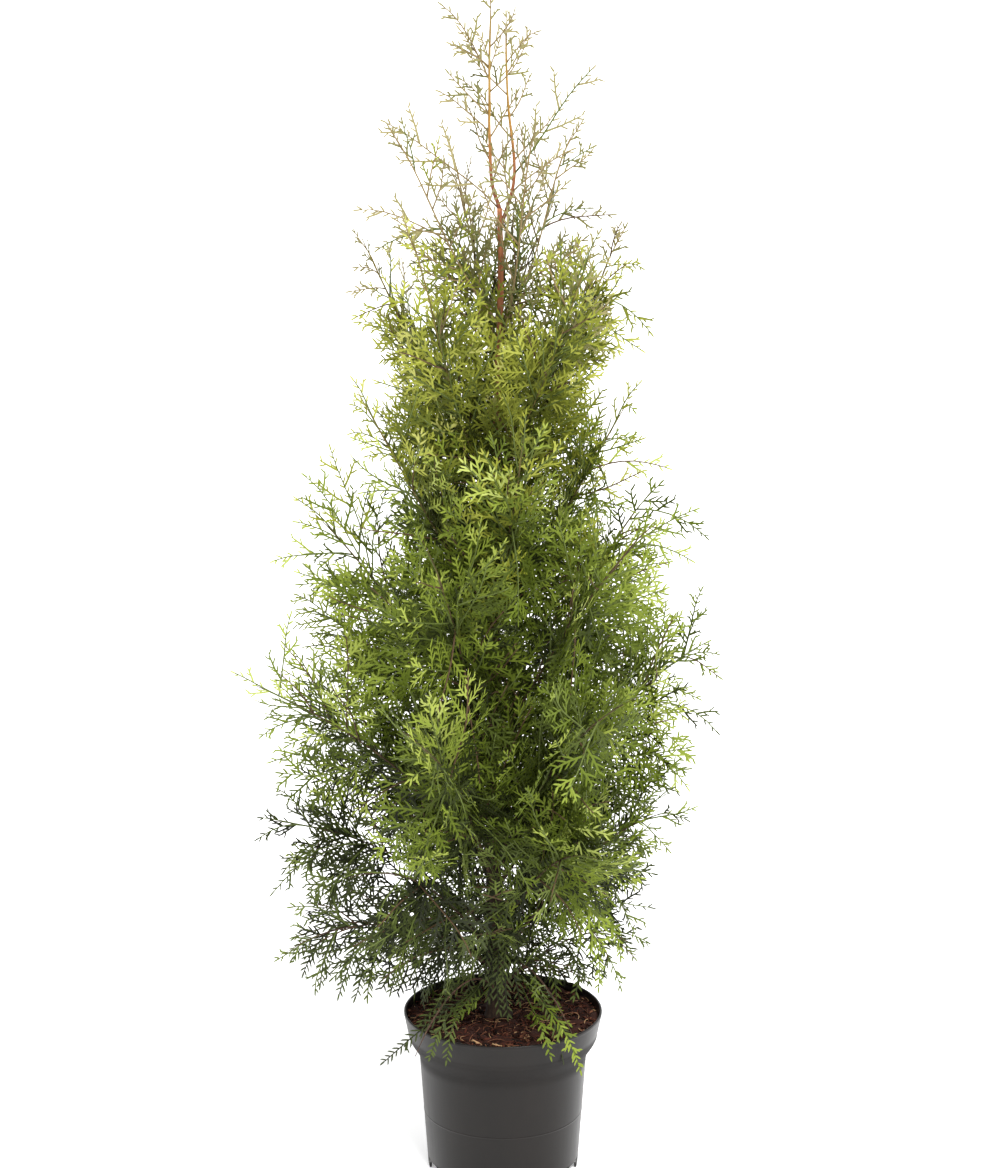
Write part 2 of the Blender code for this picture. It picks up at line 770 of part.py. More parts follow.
def pot(surface):
    profile = [
        (RIM_RADIUS, POT_HEIGHT),
        (COLLAR_FOOT_RADIUS, COLLAR_FOOT_HEIGHT),
        (COLLAR_FOOT_RADIUS - 0.0028, COLLAR_FOOT_HEIGHT - 0.0070),
        (BODY_TOP_RADIUS, BODY_TOP_HEIGHT),
        (BODY_BASE_RADIUS, 0.0),
        (FOOT_INNER_RADIUS, 0.0),
        (FOOT_INNER_RADIUS - 0.001, HOLLOW_HEIGHT),
        (PAD_RADIUS + 0.001, HOLLOW_HEIGHT),
        (PAD_RADIUS, 0.0),
        (0.0, 0.0),
        (0.0, FLOOR_TOP),
    ]
    profile += [(radius, height) for height, radius in INNER_WALL]
    made = object_from("pot", turned("pot", profile, POT_SEGMENTS), surface)
    for i in range(NOTCHES):
        join(made, "DIFFERENCE", object=cutter(f"notch_{i + 1}", notch_mesh(i)))
    for i in range(DRAIN_HOLES):
        join(made, "DIFFERENCE", object=cutter(f"drain_{i + 1}", drain_mesh(i)))
    smooth(made)
    return made


def potting_mix(surface):
    """The filled root ball inside the pot, heaped a little towards the trunk."""
    clear = GAP * 1.4
    heights = [height for height, _ in INNER_WALL[:-1]] + [MIX_LEVEL_AT_WALL]
    heights[0] += GAP
    profile = [(0.0, heights[0])]
    profile += [(between(INNER_WALL, height)[0] - clear, height) for height in heights]
    profile += [(0.040, MIX_LEVEL), (0.0, MIX_LEVEL)]
    mesh = turned("potting_mix", profile[::-1], POT_SEGMENTS)
    made = object_from("potting_mix", mesh, surface)
    smooth(made)
    return made


# ---------------------------------------------------------------- the whole plant
def main():
    for obj in list(bpy.data.objects):
        bpy.data.objects.remove(obj)
    bark = material("bark", *BARK_BROWN)
    greens = [material(*look) for look in LEAF_GREENS]

    pot(material("pot_plastic", *POT_GREY))
    potting_mix(material("potting_mix", *MIX_BROWN))
    trunk = object_from("trunk", trunk_mesh("trunk"), bark)
    smooth(trunk)
    trunk_clearance = cutter("trunk_clearance", trunk_mesh("trunk_clearance", GAP))

    boughs = plan()
    space = Space(boughs)
    for owner, bough in enumerate(boughs):
        height = bough.course.points[-1].z
        green = sum(height > band for band in LEAF_BANDS)
        foliage(bough, owner, space, greens[green], trunk_clearance)
        if bough.bare:
            limb(bough, bark, trunk_clearance)


main()
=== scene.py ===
"""A young thuja in its nursery pot, dressed for its portrait.

Metres, +Z up, the front along -Y. The boughs are planned by the same rule as the solids of the
part, and carried on to finer twigs: each mass of foliage becomes a stem with sprays, each spray has
side shoots, and each side shoot a row of small branchlets.
"""

import math
import random
from collections import namedtuple
from functools import partial

import bpy
import mathutils
import numpy as np
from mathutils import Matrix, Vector


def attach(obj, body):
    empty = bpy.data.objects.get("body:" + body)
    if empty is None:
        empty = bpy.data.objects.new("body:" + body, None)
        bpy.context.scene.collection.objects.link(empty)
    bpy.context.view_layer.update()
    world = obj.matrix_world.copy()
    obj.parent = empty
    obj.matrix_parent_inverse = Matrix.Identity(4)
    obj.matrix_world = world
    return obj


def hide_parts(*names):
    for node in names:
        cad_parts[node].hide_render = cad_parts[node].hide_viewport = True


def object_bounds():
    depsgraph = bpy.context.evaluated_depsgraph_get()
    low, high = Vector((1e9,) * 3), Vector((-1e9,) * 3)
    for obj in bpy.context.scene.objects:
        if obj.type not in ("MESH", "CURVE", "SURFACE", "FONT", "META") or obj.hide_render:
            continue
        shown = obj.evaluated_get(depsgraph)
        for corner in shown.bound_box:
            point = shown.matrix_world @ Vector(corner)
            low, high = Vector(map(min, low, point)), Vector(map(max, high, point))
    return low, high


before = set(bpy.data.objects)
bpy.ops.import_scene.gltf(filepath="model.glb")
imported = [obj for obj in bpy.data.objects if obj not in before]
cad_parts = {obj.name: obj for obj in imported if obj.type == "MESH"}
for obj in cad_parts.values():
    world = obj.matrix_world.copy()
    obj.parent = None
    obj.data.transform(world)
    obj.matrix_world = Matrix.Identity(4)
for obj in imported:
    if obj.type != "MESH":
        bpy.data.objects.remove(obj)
cad_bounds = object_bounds()

# ---------------------------------------------------------------- camera
# Solved from the ellipse that the pot's rim makes in the picture
VIEW_PIXELS = (1000, 1168)
FOCAL_PIXELS = 2753
SENSOR = 36.0
CAMERA_PLACE = Vector((-0.0035, -3.0, 1.40))
CAMERA_PITCH = math.radians(13.2)
CLIP = (0.05, 250)


def add_camera():
    lens = bpy.data.cameras.new("camera")
    lens.sensor_fit = "VERTICAL"
    lens.sensor_height = SENSOR
    lens.lens = SENSOR * FOCAL_PIXELS / VIEW_PIXELS[1]
    lens.clip_start, lens.clip_end = CLIP
    camera = bpy.data.objects.new("camera", lens)
    camera.location = CAMERA_PLACE
    camera.rotation_euler = (math.pi / 2 - CAMERA_PITCH, 0.0, 0.0)
    bpy.context.scene.collection.objects.link(camera)
    bpy.context.scene.camera = camera


# ---------------------------------------------------------------- pot and potting mix, as in the part
RIM_RADIUS = 0.1150
POT_HEIGHT = 0.1900
LIP_THICKNESS = 0.0025
COLLAR_FOOT_RADIUS = 0.1090
COLLAR_FOOT_HEIGHT = 0.1570
BODY_TOP_RADIUS = 0.0975
BODY_TOP_HEIGHT = 0.1430
BODY_BASE_RADIUS = 0.0877
FOOT_INNER_RADIUS = 0.0740
HOLLOW_HEIGHT = 0.0050
PAD_RADIUS = 0.0300
WALL = 0.0020
NOTCHES = 8
NOTCH_ARC = math.radians(19)
NOTCH_HEIGHT = 0.0105
NOTCH_DEPTH = 0.0070
MOULDING_HEIGHT = 0.0690
SHOULDER_TOP = 0.1640
SHOULDER_FOOT = 0.1340
MIX_LEVEL = 0.1830
MIX_LEVEL_AT_WALL = 0.1815
GAP = 0.0003

# ---------------------------------------------------------------- the plan of the boughs, as in the part
TRUNK_COURSE = (
    (MIX_LEVEL + GAP, -0.007, 0.000),
    (0.450, -0.012, 0.004),
    (0.800, -0.009, -0.003),
    (1.020, -0.003, 0.002),
    (1.115, -0.004, 0.000),
)
TRUNK_RADIUS = 0.0105
TRUNK_FORK_RADIUS = 0.0027
FLARE = 0.0060
FLARE_HEIGHT = 0.0300

CROWN_REACH = (
    (0.20, 0.240, 0.160),
    (0.31, 0.258, 0.180),
    (0.45, 0.276, 0.228),
    (0.60, 0.282, 0.250),
    (0.72, 0.240, 0.226),
    (0.80, 0.226, 0.196),
    (0.92, 0.168, 0.148),
    (1.07, 0.158, 0.152),
    (1.13, 0.146, 0.136),
    (1.20, 0.128, 0.100),
    (1.34, 0.050, 0.040),
)
Tier = namedtuple(
    "Tier",
    "name boughs azimuth start tip rise_at_trunk rise_at_tip radius bare spray spacing bend",
)
TIERS = (
    Tier("skirt", 6, 179, 0.222, 0.256, 48, -40, 0.0028, 0.00, 0.105, 0.026, -0.50),
    Tier("low", 6, 178, 0.262, 0.425, 50, 2, 0.0034, 0.24, 0.140, 0.020, -0.25),
    Tier("lower_middle", 6, 190, 0.345, 0.610, 55, 26, 0.0034, 0.24, 0.150, 0.0245, 0.05),
    Tier("middle", 5, 176, 0.490, 0.775, 56, 44, 0.0031, 0.22, 0.135, 0.028, 0.25),
    Tier("upper", 5, 205, 0.640, 0.930, 56, 60, 0.0028, 0.00, 0.120, 0.029, 0.35),
    Tier("top", 5, 165, 0.800, 1.100, 55, 64, 0.0025, 0.00, 0.105, 0.029, 0.40),
    Tier("crown", 4, 200, 0.975, 1.195, 50, 55, 0.0021, 0.00, 0.080, 0.030, 0.40),
)
FRONT_DROOP = 0.055
AZIMUTH_JITTER = math.radians(7)
START_STAGGER = 0.012
TIP_JITTER = 0.022
REACH_SPREAD = (0.95, 1.06)
LEADER_COURSE = (
    (1.114, -0.004, 0.000),
    (1.150, -0.013, -0.002),
    (1.240, -0.015, 0.000),
    (1.348, -0.013, 0.002),
)
SECOND_LEADER_COURSE = (
    (1.092, -0.003, 0.000),
    (1.150, 0.012, 0.012),
    (1.230, 0.005, 0.028),
    (1.318, 0.002, 0.036),
)
LEADER_RADIUS = 0.0022
LEADER_SPRAY = 0.075
LEADER_SPACING = 0.025
LONG_SHOOT = 0.140
LONG_SHOOT_PLACE = 0.062
LONG_SHOOT_RISE = math.radians(50)
TIP_SPRAY = 0.50
SPRAY_ANGLE = math.radians(48)
SPRAY_TAPER = 0.42
BOUGH_ROLL = math.radians(45)
ROLL_SPREAD = (math.radians(62), math.radians(42))
STEM_TIP_RADIUS = 0.0014

# ---------------------------------------------------------------- finer growth, for the render only
# Sprays for each one of the part
FINER = {"skirt": 3, "low": 7, "lower_middle": 6, "middle": 6, "upper": 6, "top": 7}
FINER |= {"crown": 2, "leader": 1, "second_leader": 1}
FACING = ("skirt", "low", "lower_middle", "middle", "upper", "top")  # some sprays lie in the crown's skin
FACING_FROM = 0.30  # the share of the stem from which they grow
FACING_LENGTH = 0.98
FINER_LENGTH = 1.08
FACING_LEAN = 0.35  # how far they lean out
FACING_TURN = math.radians(70)
HANGING = {"skirt": 0.8, "low": 0.72, "lower_middle": 0.50, "middle": 0.32, "upper": 0.15, "top": 0.0}
FACING_SPREAD = 0.5  # radians to either side of the bough's own azimuth
FACING_BEND = (0.3, -0.5)  # of a rising spray and of a hanging one
FIRST_SPRAY = 0.030  # the first spray's place on a stem that is leafy to its foot
CLEAR_OF_BARE = 0.012
WHIPS = 2  # long loose shoots near the tip of each bough
WHIP_LENGTH = 0.85
WHIPS_FROM = (0.62, 0.98)
WHIP_ANGLE = math.radians(30)
SPLIT_TIERS = ("skirt", "low", "lower_middle", "middle", "upper")  # their leaves are two pieces
INNER_SPRAY = 0.68  # a shaded spray near the trunk, as a share of the bough's longest spray
INNER_SPACING = 0.010
INNER_FROM = 0.014
OUTLINE = 0.96  # how much of the reach the sprays may use
# How far the dense foliage reaches to the left and right at a height, first read off the picture: only
# loose sprays stand out of it
DENSE_REACH = (
    (0.20, 0.150, 0.105),
    (0.237, 0.183, 0.118),
    (0.274, 0.223, 0.142),
    (0.323, 0.236, 0.160),
    (0.419, 0.228, 0.184),
    (0.515, 0.244, 0.205),
    (0.608, 0.218, 0.203),
    (0.700, 0.200, 0.180),
    (0.741, 0.145, 0.153),
    (0.792, 0.131, 0.124),
    (0.905, 0.134, 0.112),
    (0.960, 0.144, 0.121),
    (1.015, 0.132, 0.130),
    (1.070, 0.090, 0.092),
    (1.124, 0.074, 0.064),
    (1.210, 0.036, 0.030),
    (1.340, 0.010, 0.010),
)
VOIDS = 11.5  # the foliage stands in clumps: no finer spray grows where a noise of this scale is low
VOID_BELOW = (-0.01, -0.50)  # how low, at the foot of the crown and at its top
LOOSE_OUTSIDE = 0.8  # how many of the sprays that stand out of it are slender
DRAW_IN = (1.0, 0.88, 0.76, 0.64, 0.52, 0.40)
BARE_MIX_TOP = 0.26  # no finer spray ends lower than this over the front of the mix
BARE_MIX_OWN = 0.225  # and none of the part's own
BARE_MIX_RADIUS = 0.150
BARE_MIX_BACK = 0.02
OWN_SKY = 0.6  # the part's own sprays keep out of the middle of a gap only
# Shoots placed as the picture shows them: 1 slender, 0 full or slender, -1 a plain comb, then
# the pixels of foot and tip
NAMED_SHOOTS = (
    (1, 500, 213, 384, 128), (1, 440, 162, 404, 122), (1, 490, 130, 440, 95), (1, 470, 113, 462, 78),
    (1, 488, 82, 441, 7), (1, 484, 66, 452, 45), (1, 503, 63, 537, 33), (1, 530, 196, 572, 152),
    (1, 540, 225, 588, 206), (1, 575, 235, 611, 214), (1, 595, 265, 640, 268), (1, 605, 252, 618, 224),
    (1, 430, 250, 360, 214), (1, 420, 240, 380, 252), (1, 395, 265, 357, 266), (1, 400, 285, 352, 292),
    (1, 395, 300, 357, 318), (1, 600, 300, 652, 330), (1, 590, 320, 640, 350), (1, 600, 380, 633, 410),
    (1, 390, 345, 360, 325), (1, 395, 420, 352, 406), (1, 374, 572, 303, 480), (1, 348, 532, 298, 523),
    (1, 378, 575, 336, 448), (1, 357, 518, 331, 500), (1, 354, 476, 369, 454), (1, 382, 572, 381, 492),
    (1, 402, 440, 352, 434), (1, 400, 500, 362, 493), (1, 330, 576, 277, 564), (1, 332, 578, 309, 553),
    (1, 318, 712, 276, 670), (1, 305, 692, 276, 684), (1, 306, 746, 262, 737), (1, 305, 640, 294, 617),
    (1, 314, 815, 281, 788), (1, 308, 822, 257, 835), (1, 335, 852, 283, 869), (1, 330, 880, 272, 892),
    (1, 610, 482, 668, 465), (1, 598, 512, 632, 512), (1, 596, 440, 636, 440), (1, 655, 575, 695, 508),
    (1, 680, 538, 708, 534), (1, 630, 560, 640, 527), (1, 640, 545, 661, 529), (1, 660, 560, 690, 556),
    (1, 676, 622, 705, 590), (1, 684, 612, 700, 614), (1, 660, 642, 716, 654), (1, 690, 644, 720, 676),
    (1, 662, 688, 696, 699), (1, 655, 725, 726, 729), (0, 650, 728, 684, 716), (0, 650, 742, 690, 757),
    (0, 640, 755, 684, 788), (0, 645, 780, 686, 818), (0, 635, 815, 666, 850), (0, 600, 880, 640, 935),
    (1, 610, 930, 633, 958), (0, 590, 930, 622, 985), (0, 393, 903, 292, 935), (-1, 308, 922, 294, 958),
    (-1, 322, 924, 303, 971), (-1, 338, 930, 317, 985), (-1, 362, 938, 342, 996),
    (-1, 374, 944, 353, 999), (-1, 388, 948, 368, 996), (-1, 406, 948, 393, 994),
    (0, 345, 905, 292, 905), (0, 360, 870, 300, 860), (0, 380, 930, 300, 950), (0, 410, 930, 330, 970),
    (0, 425, 945, 360, 985), (0, 486, 330, 448, 250), (0, 480, 345, 430, 275), (0, 478, 300, 455, 225),
    (0, 488, 290, 472, 215), (0, 470, 360, 425, 300), (0, 465, 330, 420, 250), (0, 495, 340, 470, 268),
    (0, 505, 345, 520, 262), (0, 505, 330, 545, 262), (0, 500, 300, 530, 235), (0, 510, 360, 560, 300),
    (0, 502, 372, 503, 292), (0, 490, 390, 480, 310), (0, 520, 380, 550, 330), (1, 530, 330, 580, 270),
    (0, 560, 350, 600, 280), (1, 545, 320, 565, 245), (1, 510, 250, 522, 196), (1, 480, 250, 462, 190),
    (1, 450, 300, 405, 235), (0, 440, 340, 395, 290), (1, 590, 300, 625, 262), (0, 498, 345, 492, 300),
    (0, 450, 310, 436, 222), (0, 510, 300, 500, 262), (0, 370, 640, 318, 585), (0, 360, 665, 300, 610),
    (0, 375, 600, 332, 572), (0, 350, 690, 288, 642), (0, 345, 640, 297, 600), (0, 360, 700, 288, 668),
    (0, 350, 720, 290, 690), (0, 352, 650, 315, 630), (0, 350, 740, 293, 715), (0, 345, 760, 288, 745),
    (0, 372, 625, 345, 578), (0, 360, 620, 330, 600), (0, 610, 600, 660, 560), (0, 610, 640, 666, 590),
    (0, 620, 580, 652, 545), (0, 615, 660, 670, 620), (0, 620, 690, 668, 650), (0, 610, 622, 655, 578),
    (0, 600, 840, 648, 850), (0, 625, 650, 664, 604), (0, 430, 560, 396, 505), (0, 425, 545, 387, 520),
    (0, 565, 925, 602, 975), (0, 560, 520, 572, 470), (0, 545, 510, 556, 465), (1, 490, 75, 500, 40),
    (1, 492, 62, 478, 35), (0, 510, 260, 525, 207), (0, 505, 240, 512, 196), (0, 430, 540, 388, 530),
    (0, 425, 555, 400, 512), (0, 415, 520, 390, 500), (0, 615, 590, 653, 549), (0, 625, 605, 662, 562),
    (0, 612, 570, 646, 556), (0, 350, 610, 300, 586), (0, 350, 650, 312, 614), (0, 355, 680, 306, 650),
    (0, 350, 700, 292, 657), (0, 345, 625, 325, 598), (0, 400, 790, 358, 812), (0, 395, 810, 365, 832),
    (0, 600, 830, 650, 842), (0, 605, 815, 650, 812), (0, 350, 860, 294, 872), (0, 395, 900, 355, 913),
    (0, 585, 915, 626, 942), (0, 400, 905, 350, 892), (0, 470, 920, 432, 973), (0, 480, 930, 457, 978),
    (0, 455, 915, 418, 966), (0, 560, 930, 588, 982), (0, 480, 915, 470, 968), (0, 420, 350, 372, 325),
    (0, 425, 370, 380, 350), (0, 415, 340, 392, 312), (0, 560, 370, 600, 362), (0, 580, 350, 618, 352),
    (0, 570, 280, 606, 262), (0, 560, 300, 585, 252), (0, 350, 830, 366, 805), (0, 600, 760, 672, 722),
    (0, 610, 740, 664, 704), (0, 590, 870, 636, 884), (0, 575, 900, 604, 958), (0, 470, 905, 448, 962),
    (0, 600, 790, 652, 806), (0, 350, 905, 322, 920), (0, 490, 880, 500, 935), (0, 505, 870, 515, 925),
)
# The sprays in front, over the mix and the rim: kind (-1 a comb, -2 a frond), how many shades
# paler, and the last three of the four points that bend each, as two pixels and a depth in metres. The
# first point is on the nearest limb
FRONT_SPRAYS = (
    (-1, 0.2, (480, 968, -0.010), (455, 983, -0.030), (424, 1025, -0.050)),
    (-2, 2.0, (505, 972, -0.030), (482, 988, -0.050), (459, 1020, -0.060)),
    (-1, 0.2, (470, 1000, -0.030), (430, 1008, -0.118), (379, 1066, -0.075)),
    (-2, 0.9, (472, 1000, -0.040), (436, 1006, -0.122), (428, 1054, -0.098)),
    (-1, 0.7, (475, 1000, -0.040), (446, 1008, -0.126), (443, 1057, -0.106)),
    (-2, 2.2, (528, 990, -0.020), (556, 1014, -0.118), (573, 1068, -0.092)),
    (-1, 1.0, (530, 985, -0.020), (556, 1016, -0.118), (571, 1066, -0.094)),
    (-2, 1.8, (526, 992, -0.020), (545, 1016, -0.122), (549, 1052, -0.108)),
    (-1, 1.0, (532, 985, -0.020), (560, 1010, -0.110), (578, 1048, -0.087)),
    (-1, 0.0, (540, 945, -0.030), (560, 955, -0.050), (556, 1006, -0.055)),
    (-1, 0.4, (500, 940, -0.050), (510, 960, -0.065), (516, 1004, -0.066)),
    (-1, 0.0, (495, 945, -0.050), (496, 965, -0.065), (492, 1000, -0.066)),
    (-1, 0.6, (505, 925, -0.050), (506, 950, -0.065), (503, 988, -0.070)),
    (-1, 0.6, (495, 915, -0.050), (490, 940, -0.065), (483, 980, -0.070)),
    (-1, 0.8, (510, 910, -0.050), (517, 930, -0.065), (521, 970, -0.070)),
    (-1, 0.2, (500, 925, -0.050), (498, 945, -0.065), (494, 976, -0.070)),
    (-1, 0.2, (505, 950, -0.060), (507, 970, -0.070), (505, 1014, -0.074)),
    (-1, 0.2, (498, 955, -0.060), (500, 975, -0.070), (499, 1010, -0.074)),
    (-2, 0.4, (530, 950, -0.030), (536, 965, -0.050), (534, 998, -0.055)),
    (-1, 0.4, (560, 945, -0.020), (580, 948, -0.040), (577, 998, -0.045)),
    (-1, 0.0, (470, 940, -0.030), (460, 955, -0.050), (450, 990, -0.055)),
    (-1, 0.0, (480, 940, -0.030), (475, 955, -0.050), (470, 996, -0.055)),
    (-2, 2.0, (580, 915, -0.020), (606, 925, -0.040), (604, 988, -0.045)),
    (-2, 1.6, (585, 905, -0.020), (612, 915, -0.040), (618, 958, -0.045)),
)
# Where the sky shows through in the picture: pixel, and radius in pixels
SKY = (
    (604, 405, 18), (276, 524, 28), (336, 498, 12), (652, 505, 34), (690, 540, 12), (398, 185, 20),
    (562, 140, 20), (398, 872, 14), (378, 905, 10), (342, 848, 10), (566, 945, 15), (630, 892, 16),
    (684, 676, 14), (296, 782, 10), (398, 395, 9),
)
PIXELS_PER_METRE = 905  # in the plane through the pot's axis
NAMED_DEPTH = 0.35  # how much less a limb's distance from the plane counts in the choice of the nearest
BOWED = 0.12  # how far each bows upwards, as a share of its length
NAMED_ROOM = 0.012  # how far past the part's box a tip may reach
TIP_DEPTH = 0.6  # a tip's depth, as a share of the depth of its limb

# How a spray grows: full ones fill their plane like a feather, slender ones are open arcs, fronds have short
# side shoots, and combs have teeth straight off their axis
Growth = namedtuple(
    "Growth",
    "bare shoot_spacing shoot_share shoot_angle shoot_turn teeth_from teeth_spacing teeth_length axis_teeth"
    " axis_spacing half play",
)
FULL = Growth(0.06, 0.0118, 0.44, 52, 0.45, 0.10, 0.0043, (0.0146, 0.0088), 0.82, 0.0050, 0.00108, 0.05)
SLENDER = Growth(0.24, 0.0215, 0.38, 46, 0.55, 0.22, 0.0052, (0.0106, 0.0074), 0.50, 0.0060, 0.00094, 0.07)
FROND = Growth(0.48, 0.0095, 0.13, 46, 0.45, 0.15, 0.0046, (0.0115, 0.0080), 0.62, 0.0048, 0.00112, 0.05)
COMB = Growth(0.10, 1.0, 0.12, 50, 0.40, 0.10, 0.0043, (0.0150, 0.0085), 0.06, 0.0043, 0.00105, 0.05)
TAPER = ((0.0, 0.10, 0.28, 0.66, 1.0), (0.60, 0.88, 1.0, 0.74, 0.18))  # side shoots along a spray
SHOOT_HALF = (0.00130, 0.00095)  # half a side shoot's width, at its foot and near its tip
SHORTEST = 0.0085  # a shorter side shoot is one tooth
TOOTH_ANGLE = 44
FORKED = 0.0115  # some longer teeth are forked
FORKED_SHARE = 0.14
FORK_PLACE, FORK_SHARE, FORK_ANGLE = 0.40, 0.44, math.radians(38)
AXIS_RADII = (0.00125, 0.00075)
AXIS_RINGS, AXIS_SIDES = 8, 3
AIRY_FROM, AIRY_TO = 0.98, 1.20  # between these heights all the sprays become slender
SHORTEST_REACH = 0.0065
TIP_TOOTH = 0.0085
PALE_FROM, DARK_TO = 0.72, 0.22  # the outer side shoots are a shade paler, the first ones a shade darker
CLEARANCE = 0.002  # between the leaves and the pot or the mix


def draws(*key):
    """A random stream of its own for each named thing, so that no draw depends on another."""
    return random.Random("-".join(str(k) for k in key))


def between(table, key):
    """The other columns of a table, where its first one would read key."""
    keys = [row[0] for row in table]
    return [float(np.interp(key, keys, column)) for column in list(zip(*table))[1:]]


class Course:
    """A smooth line through points, read by the distance along it."""

    STEPS = 48

    def __init__(self, points):
        self.points = np.array([tuple(p) for p in points])
        steps = np.linalg.norm(np.diff(self.points, axis=0), axis=1)
        self.lengths = np.concatenate([[0.0], np.cumsum(steps)])
        self.length = float(self.lengths[-1])

    def points_at(self, places):
        return np.stack([np.interp(places, self.lengths, axis) for axis in self.points.T], -1)

    def along(self, places):
        """(points, directions) at distances along the line."""
        places = np.clip(np.asarray(places, float), 0.0, self.length)
        reach = max(self.length / self.STEPS, 1e-4)
        near = np.clip(places - reach, 0.0, self.length)
        far = np.clip(places + reach, 0.0, self.length)
        return self.points_at(places), unit(self.points_at(far) - self.points_at(near))

    def at(self, place):
        point, direction = self.along([place])
        return Vector(point[0]), Vector(direction[0])


def unit(vectors):
    return vectors / np.maximum(np.linalg.norm(vectors, axis=-1, keepdims=True), 1e-12)


def bezier(a, b, c, d):
    """A course that starts at a, bends towards b and c, and ends at d."""
    made = []
    for i in range(Course.STEPS + 1):
        t = i / Course.STEPS
        s = 1 - t
        made.append(a * s**3 + b * 3 * s * s * t + c * 3 * s * t * t + d * t**3)
    return Course(made)


def spline(rows):
    """A smooth course through rows of height, right and back."""
    points = [Vector((right, back, height)) for height, right, back in rows]
    padded = [points[0] * 2 - points[1], *points, points[-1] * 2 - points[-2]]
    steps = Course.STEPS // (len(points) - 1)
    made = []
    for a, b, c, d in zip(padded, padded[1:], padded[2:], padded[3:]):
        for i in range(steps):
            t = i / steps
            bent = (a * 2 - b * 5 + c * 4 - d) * t**2
            made.append((b * 2 + (c - a) * t + bent + (b * 3 - a - c * 3 + d) * t**3) / 2)
    return Course([*made, points[-1]])


def trunk_radius(height):
    foot, fork = TRUNK_COURSE[0][0], TRUNK_COURSE[-1][0]
    share = min(max((height - foot) / (fork - foot), 0.0), 1.0)
    flare = FLARE * math.exp(-(height - foot) / FLARE_HEIGHT * 2.2)
    return TRUNK_RADIUS + (TRUNK_FORK_RADIUS - TRUNK_RADIUS) * share**0.85 + flare


def trunk_axis(height):
    right, back = between(TRUNK_COURSE, min(height, TRUNK_COURSE[-1][0]))
    return Vector((right, back, height))


def crown_reach(height, azimuth, table=CROWN_REACH):
    left, right = between(table, height)
    return left + (right - left) * (1 + math.cos(azimuth)) / 2


def stands_out(point, table=DENSE_REACH, margin=1.0):
    x, y, z = point
    return math.hypot(x, y) > crown_reach(z, math.atan2(y, x), table) * margin


Bough = namedtuple("Bough", "name course stem radius bare spray spacing bend roll")


def plan_bough(tier, index):
    rng = draws(tier.name, index)
    azimuth = math.radians(tier.azimuth) + index * math.tau / tier.boughs
    azimuth += rng.uniform(-1, 1) * AZIMUTH_JITTER
    start = tier.start + START_STAGGER * (-1) ** index
    tip = tier.tip + rng.uniform(-1, 1) * TIP_JITTER
    if tier.name == "skirt":
        tip += FRONT_DROOP * min(math.sin(azimuth), 0.0)
    reach = crown_reach(tip, azimuth) * rng.uniform(*REACH_SPREAD)
    out = Vector((math.cos(azimuth), math.sin(azimuth), 0.0))

    def towards(rise):
        return out * math.cos(math.radians(rise)) + Vector((0, 0, math.sin(math.radians(rise))))

    foot = trunk_axis(start)
    end = trunk_axis(tip) + out * reach
    span = (end - foot).length
    course = bezier(
        foot,
        foot + towards(tier.rise_at_trunk) * span * 0.42,
        end - towards(tier.rise_at_tip) * span * 0.34,
        end,
    )
    roll = rng.uniform(-1, 1) * BOUGH_ROLL
    stem = course.length - tier.spray * TIP_SPRAY
    name = f"{tier.name}_{index + 1}"
    return Bough(name, course, stem, *tier[7:], roll)


def plan():
    boughs = [plan_bough(tier, i) for tier in TIERS for i in range(tier.boughs)]
    for name, rows in (("leader", LEADER_COURSE), ("second_leader", SECOND_LEADER_COURSE)):
        course = spline(rows)
        stem = course.length - LEADER_SPRAY * TIP_SPRAY
        look = (LEADER_RADIUS, 0.0, LEADER_SPRAY, LEADER_SPACING, 0.45, 0.0)
        boughs.append(Bough(name, course, stem, *look))
    return boughs


def side_of(direction, roll):
    up = Vector((0, 0, 1)) if abs(direction.z) < 0.97 else Vector((1, 0, 0))
    up = (up - direction * up.dot(direction)).normalized()
    return up * math.cos(roll) + direction.cross(up) * math.sin(roll)


def spray_course(root, heading, length, bend):
    return bezier(
        root,
        root + heading * length * 0.35,
        root + heading * length * 0.68 + Vector((0, 0, bend * length * 0.10)),
        root + (heading + Vector((0, 0, bend * 0.34))).normalized() * length,
    )


Spray = namedtuple("Spray", "course side key share loose")


def tier_of(bough):
    return bough.name.rstrip("0123456789").rstrip("_")


